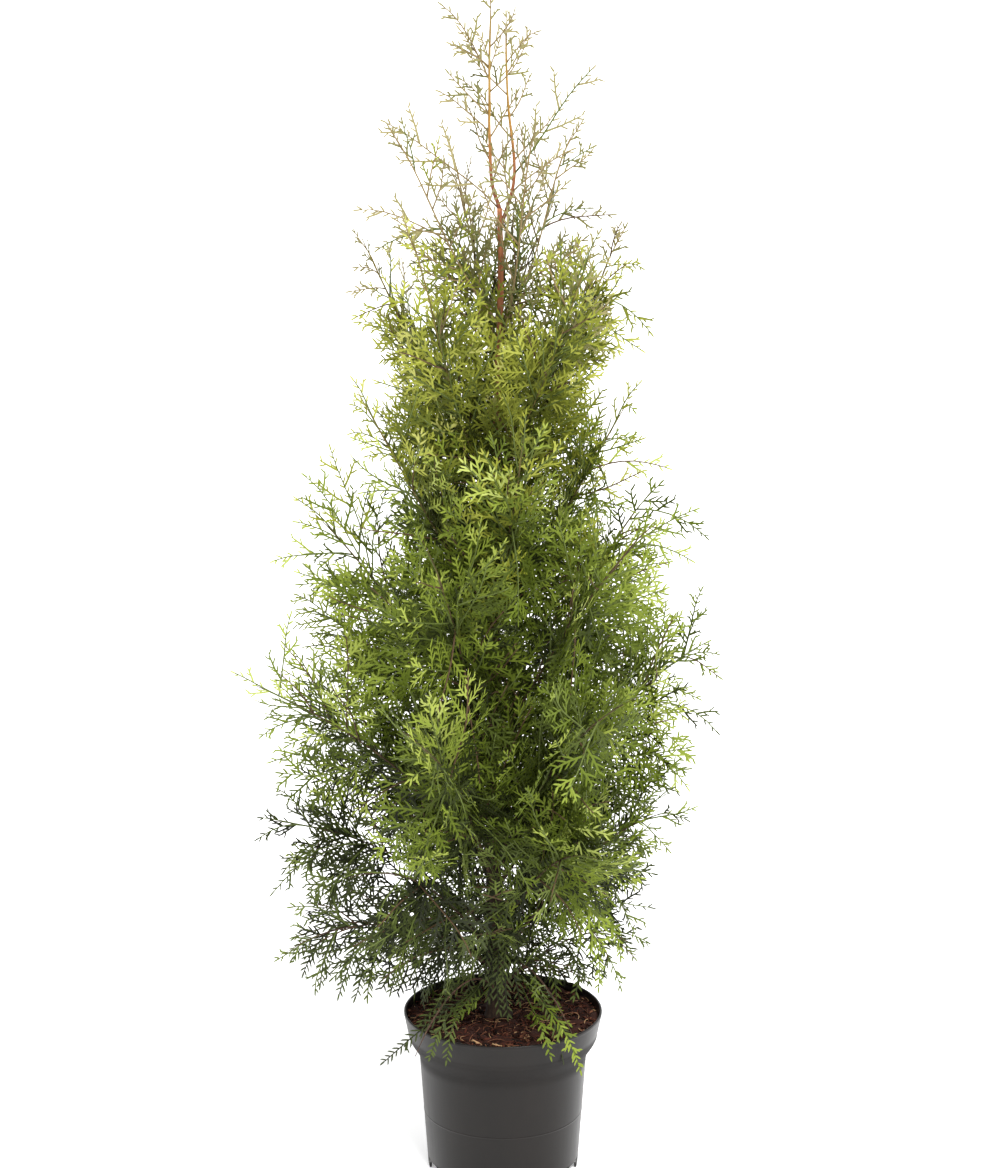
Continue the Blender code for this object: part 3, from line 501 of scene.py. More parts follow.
def planned_sprays(bough):
    """The sprays of a mass. Whole-numbered ones are the part's own, the rest stand between them."""
    tier = tier_of(bough)
    bare = bough.course.length * bough.bare
    first = max(bare + CLEAR_OF_BARE, FIRST_SPRAY if bough.bare == 0.0 else 0.0)
    run = bough.stem - first
    count = max(2, round(run / bough.spacing))
    finer = FINER[tier]
    for step in range(count * finer):
        k = step / finer
        k = int(k) if k == int(k) else round(k, 2)
        share = k / count
        rng = draws(bough.name, "spray", k)
        length = bough.spray * (1 - SPRAY_TAPER * share)
        if step % 2 and tier in FACING and step % finer:
            yield facing_spray(bough, rng, length * FACING_LENGTH, k, share)
            continue
        root, direction = bough.course.at(first + run * share)
        spread = ROLL_SPREAD[0] + (ROLL_SPREAD[1] - ROLL_SPREAD[0]) * share
        roll = bough.roll + rng.uniform(-1, 1) * spread
        hand = (-1) ** (step // finer + step % finer // 2)
        table = DENSE_REACH if step % finer and tier in FACING else CROWN_REACH
        length *= FINER_LENGTH if step % finer else 1.0
        yield side_spray(bough, rng, root, direction, roll, hand, length, k, share, SPRAY_ANGLE, table=table)
    # The stem runs on into the spray at its tip
    places = np.linspace(bough.stem - 0.004, bough.course.length, 9)
    tip = Course(bough.course.points_at(places))
    yield Spray(tip, side_of(bough.course.at(bough.stem)[1], bough.roll), f"{bough.name}-tip", 1.0, 0.3)
    if bough.name == "second_leader":
        root = bough.course.at(LONG_SHOOT_PLACE)[0]
        heading = Vector((math.cos(LONG_SHOOT_RISE), 0, math.sin(LONG_SHOOT_RISE)))
        shoot = spray_course(root, heading, LONG_SHOOT, 0.15)
        yield Spray(shoot, side_of(heading, 0.3), f"{bough.name}-long", 1.0, 1.0)
    if tier not in FACING:
        return
    # Long loose shoots towards the tip
    for k in range(WHIPS):
        rng = draws(bough.name, "whip", k)
        root, direction = bough.course.at(bough.stem * rng.uniform(*WHIPS_FROM))
        roll = rng.uniform(0, math.tau)
        length = bough.spray * WHIP_LENGTH * rng.uniform(0.7, 1.1)
        yield side_spray(bough, rng, root, direction, roll, 1, length, f"whip{k}", 1.0, WHIP_ANGLE, 1.0)
    # Shaded sprays inside the crown, close to the trunk
    for k in range(int((first + 0.05 - INNER_FROM) / INNER_SPACING)):
        rng = draws(bough.name, "inner", k)
        root, direction = bough.course.at(INNER_FROM + k * INNER_SPACING)
        roll = rng.uniform(0, math.tau)
        length = bough.spray * INNER_SPRAY
        yield side_spray(bough, rng, root, direction, roll, 1, length, f"inner{k}", -1.0, SPRAY_ANGLE)


def drawn_in(course_of_length, length, table):
    """The spray's course, shorter where it would leave the outline. None where it can't stay inside."""
    for shrink in DRAW_IN:
        course = course_of_length(length * shrink)
        if not stands_out(course.points[-1], table, OUTLINE):
            return course
    return course if table is CROWN_REACH else None


def side_spray(
    bough, rng, root, direction, roll, hand, length, number, share, from_stem, loose=0.0, table=CROWN_REACH
):
    """One spray off a stem."""
    out = side_of(direction, roll) * hand
    angle = from_stem * rng.uniform(0.85, 1.15)
    heading = direction * math.cos(angle) + out * math.sin(angle)
    plane = (direction - heading * direction.dot(heading)).normalized()
    length *= rng.uniform(0.9, 1.12)
    course = drawn_in(lambda reach: spray_course(root, heading, reach, bough.bend), length, table)
    return course and Spray(course, plane, f"{bough.name}-{number}", share, loose)


def growing(spray):
    """False where a spray has no room, over the bare front of the mix, and in the crown's gaps."""
    if spray is None:
        return False
    own = not any(mark in spray.key for mark in (".", "whip", "inner"))
    x, y, z = spray.course.points[-1]
    lowest = BARE_MIX_OWN if own else BARE_MIX_TOP
    if z < lowest and y < BARE_MIX_BACK and abs(x) < BARE_MIX_RADIUS:
        return False
    shown = seen(np.array(spray.course.points)[3::3])
    for across, down, pixels in SKY:
        right, _, up = at_pixel(across, down)
        radius = round(pixels / PIXELS_PER_METRE, 3) * (OWN_SKY if own else 1)
        near = np.hypot(shown[:, 0] - right, shown[:, 2] - up) < radius
        if near.any() and not spray.key.endswith("-tip"):
            return False
    if own:
        return True
    middle = Vector(spray.course.points[len(spray.course.points) // 2])
    below = np.interp(middle.z, (POT_HEIGHT, TRUNK_COURSE[-1][0]), VOID_BELOW)
    return mathutils.noise.noise(middle * VOIDS) > below


def facing_spray(bough, rng, length, number, share):
    """One spray that lies in the skin of the crown, its flat side outwards, rising or hanging."""
    place = bough.stem * (FACING_FROM + (1 - FACING_FROM) * share)
    root = bough.course.at(place)[0]
    tip = bough.course.points[-1]
    azimuth = math.atan2(tip[1], tip[0]) + rng.uniform(-1, 1) * FACING_SPREAD
    out = Vector((math.cos(azimuth), math.sin(azimuth), rng.uniform(-0.1, 0.4))).normalized()
    hangs = rng.random() < HANGING[tier_of(bough)]
    turn = rng.uniform(-1, 1) * FACING_TURN
    aside = Vector((-math.sin(azimuth), math.cos(azimuth), 0.0))
    heading = Vector((0, 0, -1 if hangs else 1)) * math.cos(turn) + aside * math.sin(turn)
    heading = (heading + out * FACING_LEAN * rng.uniform(0.6, 1.8)).normalized()
    side = (out.cross(heading) + out * rng.uniform(-0.4, 0.4)).normalized()
    bend = FACING_BEND[hangs]
    length *= rng.uniform(0.8, 1.15)
    course = drawn_in(lambda reach: spray_course(root, heading, reach, bend), length, DENSE_REACH)
    return course and Spray(course, side, f"{bough.name}-{number}", share, 0.0)


def seen(points):
    """Points drawn along the camera's rays into the plane y = 0."""
    camera = np.array(CAMERA_PLACE)
    return camera + (points - camera) * (camera[1] / (camera[1] - points[..., 1]))[..., None]


def at_pixel(across, down, y=0.0):
    """(x, y, z) of the point at the depth y that shows at a pixel of the picture, to the millimetre."""
    angle = math.atan((down - VIEW_PIXELS[1] / 2) / FOCAL_PIXELS)
    away = y - CAMERA_PLACE.y
    aside = (across - VIEW_PIXELS[0] / 2) / FOCAL_PIXELS * away / math.cos(CAMERA_PITCH + angle)
    below = away * math.tan(CAMERA_PITCH + angle)
    return round(CAMERA_PLACE.x + aside * math.cos(angle), 3), y, round(CAMERA_PLACE.z - below, 3)


def unseen(point, y):
    """The point at the depth y that shows at the same pixel as a point of the plane y = 0."""
    at = Vector(point) - CAMERA_PLACE
    return CAMERA_PLACE + at * ((y - CAMERA_PLACE.y) / -CAMERA_PLACE.y)


def nearest_limb(stems, apart_from):
    """(bough, point) of the limb's point for which apart_from gives the shortest vector."""
    best = None
    for bough, points in stems:
        apart = np.linalg.norm(apart_from(points), axis=1)
        k = int(apart.argmin())
        if best is None or apart[k] < best[0]:
            best = (apart[k], bough, Vector(points[k]))
    return best[1:]


def named_shoot(number, stems, loose, foot, tip):
    """(bough, spray, how much paler) of a shoot from the limb that shows nearest to its foot."""

    def in_picture(points):
        apart = seen(points) - np.array(foot)
        apart[:, 1] = points[:, 1] * NAMED_DEPTH
        return apart

    bough, root = nearest_limb(stems, in_picture)
    end = unseen(tip, root.y * TIP_DEPTH)
    end.x = min(max(end.x, cad_bounds[0][0] + NAMED_ROOM), cad_bounds[1][0] + NAMED_ROOM)
    span = end - root
    lift = Vector((0, 0, 1)) * span.length * BOWED
    course = bezier(root, root + span * 0.3 + lift, root + span * 0.72 + lift * 0.9, end)
    rng = draws("named", number)
    side = Vector((rng.uniform(-0.3, 0.3), -1, 0)).cross(span).normalized()
    return bough, Spray(course, side, f"named-{number}", 1.0, loose), 0.0


def front_spray(number, stems, loose, paler, bends):
    """(bough, spray, how much paler) of a spray bent through three points, its flat side up and forward."""
    bough, root = nearest_limb(stems, lambda points: points - np.array(bends[0]))
    side = Vector((0, -1, 0.6)).cross(bends[2] - bends[1]).normalized()
    return bough, Spray(bezier(root, *bends), side, f"front-{number}", 1.0, loose), paler


def named_sprays(boughs):
    """The shoots and sprays that are placed as the picture shows them."""
    stems = [(bough, bough.course.points[:-4]) for bough in boughs]
    for number, (loose, *pixels) in enumerate(NAMED_SHOOTS):
        yield named_shoot(number, stems, loose, at_pixel(*pixels[:2]), at_pixel(*pixels[2:]))
    for number, (loose, paler, *bends) in enumerate(FRONT_SPRAYS):
        yield front_spray(number, stems, loose, paler, [Vector(at_pixel(*bend)) for bend in bends])


# ---------------------------------------------------------------- meshes from arrays
class Heap:
    """Gathers triangles and their materials, to be made into one mesh."""

    def __init__(self):
        self.points, self.faces, self.looks, self.count = [], [], [], 0

    def add(self, points, faces, look):
        points = np.asarray(points, np.float32).reshape(-1, 3)
        faces = np.asarray(faces, np.int32).reshape(-1, 3)
        self.points.append(points)
        self.faces.append(faces + self.count)
        self.looks.append(np.full(len(faces), look, np.int32) if np.isscalar(look) else look)
        self.count += len(points)

    def made(self, name, materials, smooth=False):
        points = np.concatenate(self.points)
        faces = np.concatenate(self.faces)
        used, looks = np.unique(np.concatenate(self.looks), return_inverse=True)
        mesh = bpy.data.meshes.new(name)
        mesh.vertices.add(len(points))
        mesh.vertices.foreach_set("co", points.ravel())
        mesh.loops.add(faces.size)
        mesh.loops.foreach_set("vertex_index", faces.ravel())
        mesh.polygons.add(len(faces))
        mesh.polygons.foreach_set("loop_start", np.arange(0, faces.size, 3, dtype=np.int32))
        mesh.polygons.foreach_set("material_index", looks.astype(np.int32))
        for k in used:
            mesh.materials.append(materials[k])
        mesh.update(calc_edges=True)
        if smooth:
            mesh.shade_smooth()
        obj = bpy.data.objects.new(name, mesh)
        bpy.context.scene.collection.objects.link(obj)
        return obj


def rings_to_faces(rings, sides, capped=True, closed=False):
    """Triangles of a tube whose points come ring by ring. A closed one comes back to its first ring."""
    i = np.arange(sides)
    j = (i + 1) % sides
    faces = []
    for ring in range(rings if closed else rings - 1):
        a, b = ring * sides, (ring + 1) % rings * sides
        faces += [np.stack([a + i, a + j, b + j], -1), np.stack([a + i, b + j, b + i], -1)]
    if capped:
        last = (rings - 1) * sides
        faces.append(np.stack([np.zeros(sides - 2, int), i[2:], i[1:-1]], -1))
        faces.append(np.stack([np.full(sides - 2, last), last + i[1:-1], last + i[2:]], -1))
    return np.concatenate(faces)


def ring_points(centres, side, other, radii):
    """Points in rings round the centres. radii has a row for each ring, with the radius at each angle."""
    angles = np.arange(radii.shape[1]) * math.tau / radii.shape[1]
    around = side[:, None] * np.cos(angles)[None, :, None] + other[:, None] * np.sin(angles)[None, :, None]
    return (centres[:, None] + around * radii[..., None]).reshape(-1, 3)


def tube(course, start, end, radius_at, sides, rings, relief=None):
    """(points, triangles) of a tapering limb, optionally with a relief on its skin."""
    places = np.linspace(start, end, rings)
    centres, directions = course.along(places)
    guide = np.array([0.0, 1.0, 0.0]) if abs(directions[0][2]) > 0.9 else np.array([0.0, 0.0, 1.0])
    side = unit(guide - directions * (directions @ guide)[:, None])
    radii = np.array([radius_at(p) for p in places])[:, None] * np.ones(sides)
    if relief is not None:
        angles = np.arange(sides) * math.tau / sides
        radii = radii + relief(places[:, None], angles[None])
    return ring_points(centres, side, np.cross(directions, side), radii), rings_to_faces(rings, sides)


# ---------------------------------------------------------------- a spray
STRIP = np.array([[0, 1, 3], [0, 3, 2], [2, 3, 5], [2, 5, 4], [4, 5, 6]])


def add_copies(heap, points, pattern, looks):
    """Adds many copies of one pattern of triangles. points has one row for each copy."""
    count, size = points.shape[:2]
    heap.add(points, pattern[None] + (np.arange(count) * size)[:, None, None], np.repeat(looks, len(pattern)))


def keep_clear(points):
    """True for points outside the pot, the mix and the trunk."""
    radius = np.hypot(points[:, 0], points[:, 1])
    height = points[:, 2]
    inside = radius < RIM_RADIUS + CLEARANCE
    over_mix = (radius < RIM_RADIUS - LIP_THICKNESS - CLEARANCE) & (height > MIX_LEVEL + CLEARANCE)
    free = ~inside | (height > POT_HEIGHT + CLEARANCE) | over_mix
    heights = np.linspace(MIX_LEVEL, TRUNK_COURSE[-1][0], 60)
    axes = np.array([tuple(trunk_axis(h))[:2] for h in heights])
    wide = np.array([trunk_radius(h) for h in heights])
    x = np.interp(height, heights, axes[:, 0])
    y = np.interp(height, heights, axes[:, 1])
    near = np.hypot(points[:, 0] - x, points[:, 1] - y) < np.interp(height, heights, wide) + CLEARANCE / 2
    return free & ~(near & (height < TRUNK_COURSE[-1][0]))


def wandering(course, side, rng):
    """The course with a gentle S to it, so that no two sprays lie alike."""
    t = course.lengths / course.length
    points, directions = course.along(course.lengths)
    across = unit(side - directions * (directions @ side)[:, None])
    normal = np.cross(across, directions)
    for axis, size in ((across, 0.045), (normal, 0.055)):
        turns, phase = rng.uniform(0.8, 1.6), rng.uniform(-0.5, 0.5)
        wave = np.sin(math.pi * (turns * t + phase)) - math.sin(math.pi * phase) * (1 - t)
        points = points + axis * (wave * t * size * rng.choice([-1, 1]) * course.length)[:, None]
    return Course(points)


def add_teeth(heap, looks, base, leaf, ahead, over, length, half):
    """Branchlets of scale leaves: blunt narrow blades, curved towards the tip of their shoot."""
    across = unit(np.cross(over, leaf))
    long = length[:, None]
    low = base + leaf * long * 0.32
    high = base + leaf * long * 0.70 + ahead * long * 0.07
    tip = base + leaf * long * 0.93 + ahead * long * 0.17
    wide = across * half[:, None]
    rows = []
    for centre, share in ((base, 0.8), (low, 1.0), (high, 0.85)):
        rows += [centre - wide * share, centre + wide * share]
    keep = keep_clear(base) & keep_clear(tip)
    add_copies(heap, np.stack([*rows, tip], 1)[keep], STRIP, looks[keep])


def comb(rng, heap, looks, base, ahead, normal, hand, length, growth):
    """A row of teeth off an axis, in the plane of the spray but for a little play."""
    count = len(base)
    if not count:
        return
    aside = unit(np.cross(normal, ahead)) * hand[:, None]
    lean = np.radians(TOOTH_ANGLE * rng.uniform(0.86, 1.12, count))[:, None]
    play = normal * rng.normal(0.0, growth.play, count)[:, None]
    leaf = unit(ahead * np.cos(lean) + aside * np.sin(lean) + play)
    over = normal + aside * rng.normal(0.0, 0.22, count)[:, None]
    half = growth.half * rng.uniform(0.85, 1.12, count)
    add_teeth(heap, looks, base, leaf, ahead, over, length, half)
    # Some long ones fork, to either side
    fork = (length > FORKED) & (rng.random(count) < FORKED_SHARE)
    turn = (np.where(rng.random(count) < 0.7, 1.0, -1.0) * FORK_ANGLE)[fork][:, None]
    flat = unit(np.cross(leaf[fork], over[fork])) * hand[fork][:, None]
    lobe = unit(leaf[fork] * np.cos(turn) + flat * np.sin(turn))
    start = base[fork] + leaf[fork] * (length[fork] * FORK_PLACE)[:, None]
    reach = length[fork] * FORK_SHARE
    add_teeth(heap, looks[fork], start, lobe, leaf[fork], over[fork], reach, half[fork] * 0.9)


def leafy(spray, leaves, twigs, leaf_look, twig_look):
    """Adds one spray's side shoots and teeth to the leaves, and its axis to the twigs."""
    seed = draws(spray.key, "fine").randrange(2**32)
    rng = np.random.default_rng(seed)
    side = np.array(spray.side)
    course = wandering(spray.course, side, rng)
    length = course.length
    fine = min(1.0, 0.62 + length / 0.2)  # small sprays are finer
    airy = float(np.interp(course.points[-1][2], (AIRY_FROM, AIRY_TO), (0.0, 1.0)))
    airy = max(airy, spray.loose, LOOSE_OUTSIDE * stands_out(course.points[-1], margin=1.06))
    growth = SLENDER if rng.random() < airy else FULL
    if spray.loose < 0:
        growth = COMB if spray.loose == -1 else FROND

    # The axis, which is green on a comb or a frond
    centres, directions = course.along(np.linspace(0.0, length, AXIS_RINGS))
    across = unit(side - directions * (directions @ side)[:, None])
    radii = np.linspace(*AXIS_RADII, AXIS_RINGS)[:, None] * fine * np.ones(AXIS_SIDES)
    points = ring_points(centres, across, np.cross(across, directions), radii)
    heap, look = (leaves, leaf_look) if spray.loose < 0 else (twigs, twig_look)
    heap.add(points, rings_to_faces(AXIS_RINGS, AXIS_SIDES)[:, ::-1], look)

    # Side shoots
    first = length * growth.bare
    count = max(3, int((length - first) / (growth.shoot_spacing * (0.7 + 0.3 * fine))))
    place = first + (length - first) * (np.arange(count) + rng.uniform(-0.18, 0.18, count)) / count
    place = np.clip(place, 0.0, length * 0.985)
    share = place / length
    hand = np.where(np.arange(count) % 2 == 0, 1.0, -1.0)
    reach = length * growth.shoot_share * np.interp(share, *TAPER) * rng.uniform(0.80, 1.15, count)
    reach = np.maximum(reach, SHORTEST_REACH)
    base, along = course.along(place)
    across = unit(side - along * (along @ side)[:, None])
    normal = np.cross(across, along)
    angle = np.radians(growth.shoot_angle * rng.uniform(0.86, 1.14, count))[:, None]
    tilt = rng.normal(0.0, growth.play, count)[:, None]
    start = unit(along * np.cos(angle) + across * hand[:, None] * np.sin(angle) + normal * tilt)
    turn = growth.shoot_turn * rng.uniform(0.5, 1.5, count)[:, None]
    end = unit(start + along * turn + normal * rng.normal(0.0, growth.play, count)[:, None])
    mid = base + start * (reach * 0.5)[:, None]
    tip = mid + end * (reach * 0.5)[:, None]

    def on_shoot(i, u):
        u = u[:, None]
        point = base[i] * (1 - u) ** 2 + mid[i] * 2 * u * (1 - u) + tip[i] * u**2
        return point, unit(start[i] * (1 - u) + end[i] * u)

    # The youngest growth is a shade paler, the oldest a shade darker
    family = leaf_look - leaf_look % SHADES
    shade = leaf_look + (share > PALE_FROM) - (share < DARK_TO)
    shade = np.clip(shade, family, family + SHADES - 1).astype(np.int32)
    clear = keep_clear(tip) & keep_clear(mid)

    # Their axes
    every = np.arange(count)
    rows = []
    for u, half in ((0.0, SHOOT_HALF[0]), (0.40, sum(SHOOT_HALF) / 2), (0.85, SHOOT_HALF[1])):
        centre, direction = on_shoot(every, np.full(count, u))
        flat = unit(np.cross(normal, direction))
        rows += [centre - flat * half * fine, centre + flat * half * fine]
    add_copies(leaves, np.stack([*rows, tip + end * 0.0012], 1)[clear], STRIP, shade[clear])

    # Teeth on the side shoots
    long = reach * (1 - growth.teeth_from)
    each = np.where(clear & (reach > SHORTEST), np.maximum(2, long / growth.teeth_spacing), 0).astype(int)
    i = np.repeat(every, each)
    j = np.arange(len(i)) - np.repeat(np.cumsum(each) - each, each)
    u = growth.teeth_from + (1 - growth.teeth_from) * (j + 0.4 + rng.uniform(-0.15, 0.15, len(i))) / each[i]
    where, ahead = on_shoot(i, u)
    size = growth.teeth_length[0] + (growth.teeth_length[1] - growth.teeth_length[0]) * u
    size = size * np.clip(reach[i] / 0.026, 0.60, 1.0) * rng.uniform(0.86, 1.12, len(i))
    side_of_shoot = np.where(j % 2 == 0, 1.0, -1.0) * hand[i]
    comb(rng, leaves, shade[i], where, ahead, normal[i], side_of_shoot, size, growth)

    # Teeth on the axis itself, between the side shoots and out to its tip
    teeth = np.arange(length * growth.axis_teeth, length * 0.99, growth.axis_spacing * fine)
    where, ahead = course.along(teeth)
    across = unit(side - ahead * (ahead @ side)[:, None])
    size = np.interp(teeth / length, (0.4, 1.0), growth.teeth_length) * rng.uniform(0.8, 1.05, len(teeth))
    turns = np.where(np.arange(len(teeth)) % 2 == 0, 1.0, -1.0)
    pale = np.full(len(teeth), min(leaf_look + 1, family + SHADES - 1), np.int32)
    comb(rng, leaves, pale, where, ahead, np.cross(across, ahead), turns, size, growth)
    where, ahead = course.along([length - 0.001])
    across = side - ahead[0] * (ahead[0] @ side)
    over = np.cross(across, ahead[0])[None]
    add_teeth(leaves, pale[:1], where, ahead, ahead, over, np.array([TIP_TOOTH]), np.array([growth.half]))


# ---------------------------------------------------------------- materials
def srgb(*levels):
    """Linear colour from 0 to 255 levels."""
    shares = [level / 255 for level in levels]
    return tuple(s / 12.92 if s <= 0.04045 else ((s + 0.055) / 1.055) ** 2.4 for s in shares)


def surface(name, colour, roughness, specular=0.5):
    made = bpy.data.materials.new(name)
    made.use_nodes = True
    shader = made.node_tree.nodes["Principled BSDF"]
    shader.inputs["Base Color"].default_value = (*colour, 1.0)
    shader.inputs["Roughness"].default_value = roughness
    shader.inputs["Specular IOR Level"].default_value = specular
    made.diffuse_color = (*colour, 1.0)
    return made


class Shading:
    """The nodes of a material or a world, with short calls for what the looks need."""

    MIX_SOCKETS = {"FLOAT": (2, 0), "RGBA": (6, 2)}  # the first of the two inputs, and the output

    def __init__(self, owner):
        self.tree = owner.node_tree
        self.shader = self.tree.nodes.get("Principled BSDF")

    def link(self, source, target):
        self.tree.links.new(source, target)

    def node(self, kind, **settings):
        added = self.tree.nodes.new(kind)
        for key, value in settings.items():
            if key in added.inputs:
                added.inputs[key].default_value = value
            else:
                setattr(added, key, value)
        return added

    def axis(self, letter, space="Object"):
        """One coordinate, in the object's own metres unless another space is named."""
        axes = self.node("ShaderNodeSeparateXYZ")
        self.link(self.node("ShaderNodeTexCoord").outputs[space], axes.inputs["Vector"])
        return axes.outputs[letter]

    def noise(self, scale, stretch=(1, 1, 1), detail=4.0, roughness=0.6):
        """A noise in the object's own metres."""
        mapping = self.node("ShaderNodeMapping", Scale=stretch)
        self.link(self.node("ShaderNodeTexCoord").outputs["Object"], mapping.inputs["Vector"])
        made = self.node("ShaderNodeTexNoise", Scale=scale, Detail=detail, Roughness=roughness)
        self.link(mapping.outputs["Vector"], made.inputs["Vector"])
        return made.outputs["Fac"]

    def mapped(self, value, start=0.0, end=1.0, low=0.0, high=1.0, **settings):
        limits = {"From Min": start, "From Max": end, "To Min": low, "To Max": high}
        made = self.node("ShaderNodeMapRange", **settings, **limits)
        self.link(value, made.inputs["Value"])
        return made.outputs["Result"]

    def ramp(self, factor, *stops):
        made = self.node("ShaderNodeValToRGB")
        elements = made.color_ramp.elements
        while len(elements) < len(stops):
            elements.new(0.5)
        for element, (place, colour) in zip(elements, stops):
            element.position = place
            element.color = (*colour, 1.0)
        self.link(factor, made.inputs["Fac"])
        return made.outputs["Color"]

    def mix(self, kind, factor, a, b):
        made = self.node("ShaderNodeMix", data_type=kind)
        first, out = self.MIX_SOCKETS[kind]
        for place, source in ((0, factor), (first, a), (first + 1, b)):
            if isinstance(source, float):
                made.inputs[place].default_value = source
            else:
                self.link(source, made.inputs[place])
        return made.outputs[out]

    def bump(self, height, strength, distance):
        made = self.node("ShaderNodeBump", Strength=strength, Distance=distance)
        self.link(height, made.inputs["Height"])
        self.link(made.outputs["Normal"], self.shader.inputs["Normal"])


SATIN = (0.28, 0.42)  # roughness of the pot
DULL = 0.70  # and of its shoulder
BLACK, WHITE = (0, 0, 0), (1, 1, 1)


def pot_plastic():
    """Charcoal moulded plastic: satin, duller on the shoulder, with fine upright drawing marks."""
    made = surface("pot_plastic", srgb(20, 16, 13), 0.34, 0.25)
    nodes = Shading(made)
    cloud = nodes.noise(14, (1, 1, 0.6), 5)
    streaks = nodes.noise(260, (1, 1, 0.03), 3)
    rise = nodes.mapped(nodes.axis("Z"), SHOULDER_FOOT - 0.008, SHOULDER_TOP + 0.004)
    dull = nodes.ramp(rise, (0.0, BLACK), (0.3, WHITE), (0.75, WHITE), (1.0, BLACK))
    satin = nodes.mapped(streaks, low=SATIN[0], high=SATIN[1])
    nodes.link(nodes.mix("FLOAT", dull, satin, DULL), nodes.shader.inputs["Roughness"])
    shade = nodes.ramp(cloud, (0.3, srgb(12, 9, 7)), (0.75, srgb(21, 16, 13)))
    nodes.link(shade, nodes.shader.inputs["Base Color"])
    nodes.bump(streaks, 0.05, 0.0004)
    return made


STRIP_PLACES = (0.30, 0.52, 0.74)  # of the dark, middle and pale colours


def strips_by_height(name, rows, roughness, scale):
    """Bark in fine upright strips whose colours change with height. rows: height, dark, middle, pale."""
    made = surface(name, srgb(*rows[0][2]), roughness, 0.3)
    nodes = Shading(made)
    strips = nodes.noise(scale, (1, 1, 0.12), 6, 0.65)
    colour = None
    for height, *levels in rows:
        here = nodes.ramp(strips, *zip(STRIP_PLACES, (srgb(*level) for level in levels)))
        if colour is not None:
            here = nodes.mix("RGBA", nodes.mapped(nodes.axis("Z"), below, height), colour, here)
        colour, below = here, height
    nodes.link(colour, nodes.shader.inputs["Base Color"])
    nodes.bump(strips, 0.5, 0.001)
    return made


# Darker low down: partly the greyer old bark of the foot, partly painted shade of the crown over the trunk
BARK = (
    (0.50, (20, 14, 11), (46, 33, 25), (78, 60, 46)),
    (0.95, (66, 38, 28), (124, 76, 52), (160, 116, 84)),
    (1.05, (100, 56, 40), (166, 104, 68), (196, 142, 98)),
)
YOUNG_BARK = (
    (1.10, (84, 38, 36), (128, 66, 52), (156, 96, 70)),
    (1.17, (110, 64, 36), (150, 98, 50), (176, 124, 70)),
    (1.22, (124, 92, 36), (158, 120, 50), (176, 140, 70)),
    (1.33, (110, 94, 52), (136, 116, 70), (160, 140, 92)),
)
# Darker towards the foot: partly older bark, partly painted shade inside the crown; olive young wood at the
# top
BOUGH_BARK = (
    (0.40, (30, 21, 16), (66, 46, 34), (100, 76, 56)),
    (0.75, (44, 36, 20), (80, 68, 38), (112, 98, 56)),
    (1.05, (72, 66, 28), (110, 100, 44), (146, 132, 66)),
)
# Each family's shades, from the deep shade to the youngest tips, and the height where it gives way
LEAF_LOOKS = (
    (
        "low",
        0.40,
        ((30, 35, 14), (50, 58, 23), (70, 81, 32), (95, 107, 46), (122, 133, 64), (150, 158, 92)),
    ),
    (
        "middle",
        0.84,
        ((38, 46, 8), (62, 73, 16), (90, 104, 28), (119, 133, 46), (146, 158, 68), (163, 174, 90)),
    ),
    (
        "upper",
        1.05,
        ((50, 56, 12), (80, 87, 22), (109, 115, 34), (134, 139, 46), (152, 156, 64), (166, 167, 88)),
    ),
    (
        "top",
        math.inf,
        ((66, 66, 36), (90, 89, 50), (108, 106, 62), (122, 118, 72), (135, 129, 86), (146, 137, 96)),
    ),
)
LEAF_BLEND = 0.055  # how far the families run into each other
LEFT_RISE = 0.05  # on the left, which is in the shade, the low family goes higher, and on the right lower
RISE_TOP = 0.5  # no sprays above this height are shifted so
LEAF_ROUGHNESS = 0.60
SHADES = 6
TWIG_LOOKS = (
    ("twig_brown", (84, 64, 42), 0.75),
    ("twig_green", (86, 98, 40), 0.65),
    ("twig_tan", (130, 112, 74), 0.60),
)
# The middle of the shades dealt to the sprays at a height, from the trunk to the outside of the crown
# Darker at the trunk as painted shade inside the crown, paler outside as painted light
LEAF_DEAL = (
    (0.20, -0.4, 1.9),
    (0.40, -0.2, 2.4),
    (0.60, 0.3, 3.1),
    (0.85, 0.9, 3.5),
    (1.00, 1.2, 3.5),
    (1.10, 1.9, 3.6),
    (1.20, 2.0, 3.3),
    (1.35, 2.4, 3.6),
)
LEAF_SPREAD = 1.0
BRIGHT_SHARE = 0.14  # of the sprays, some stand out
BRIGHT_STEPS = 1.5
LOOSE_STEPS = 0.8  # loose sprays are darker, up to the next height
LOOSE_TOP = 1.0
SHADED_SIDE = -0.05  # to the left of this, and lower than the next, the crown is in the shade
SHADED_TOP = 0.55
SHADED_STEPS = 2.2
SHADED_FROM = 0.45


def deal_leaf(spray, paler=0.0):
    """A shade for a spray: paler towards the top of the plant, with painted shade deep in the crown and
    painted light towards its outside.
    """
    rng = draws(spray.key, "leaf")
    x, y, z = spray.course.points[len(spray.course.points) * 2 // 3]
    # How far out in the crown the spray stands: deep sprays are dealt painted shade, outer ones painted light
    exposure = min(1.0, math.hypot(x, y) / crown_reach(z, math.atan2(y, x)))
    inner, outer = between(LEAF_DEAL, z)
    middle = inner + (outer - inner) * exposure + rng.gauss(0, LEAF_SPREAD)
    if rng.random() < BRIGHT_SHARE:
        middle += BRIGHT_STEPS * exposure
    if spray.loose and z < LOOSE_TOP:
        middle -= LOOSE_STEPS
    middle += paler
    if x < SHADED_SIDE and z < SHADED_TOP:
        middle -= SHADED_STEPS * (exposure - SHADED_FROM)
    height = z + rng.gauss(0, LEAF_BLEND) + (-LEFT_RISE if x < 0 else LEFT_RISE) * (z < RISE_TOP)
    family = max(sum(height > tops for _, tops, _ in LEAF_LOOKS), int(paler > 1))
    return family * SHADES + int(min(max(round(middle), 0), SHADES - 1))


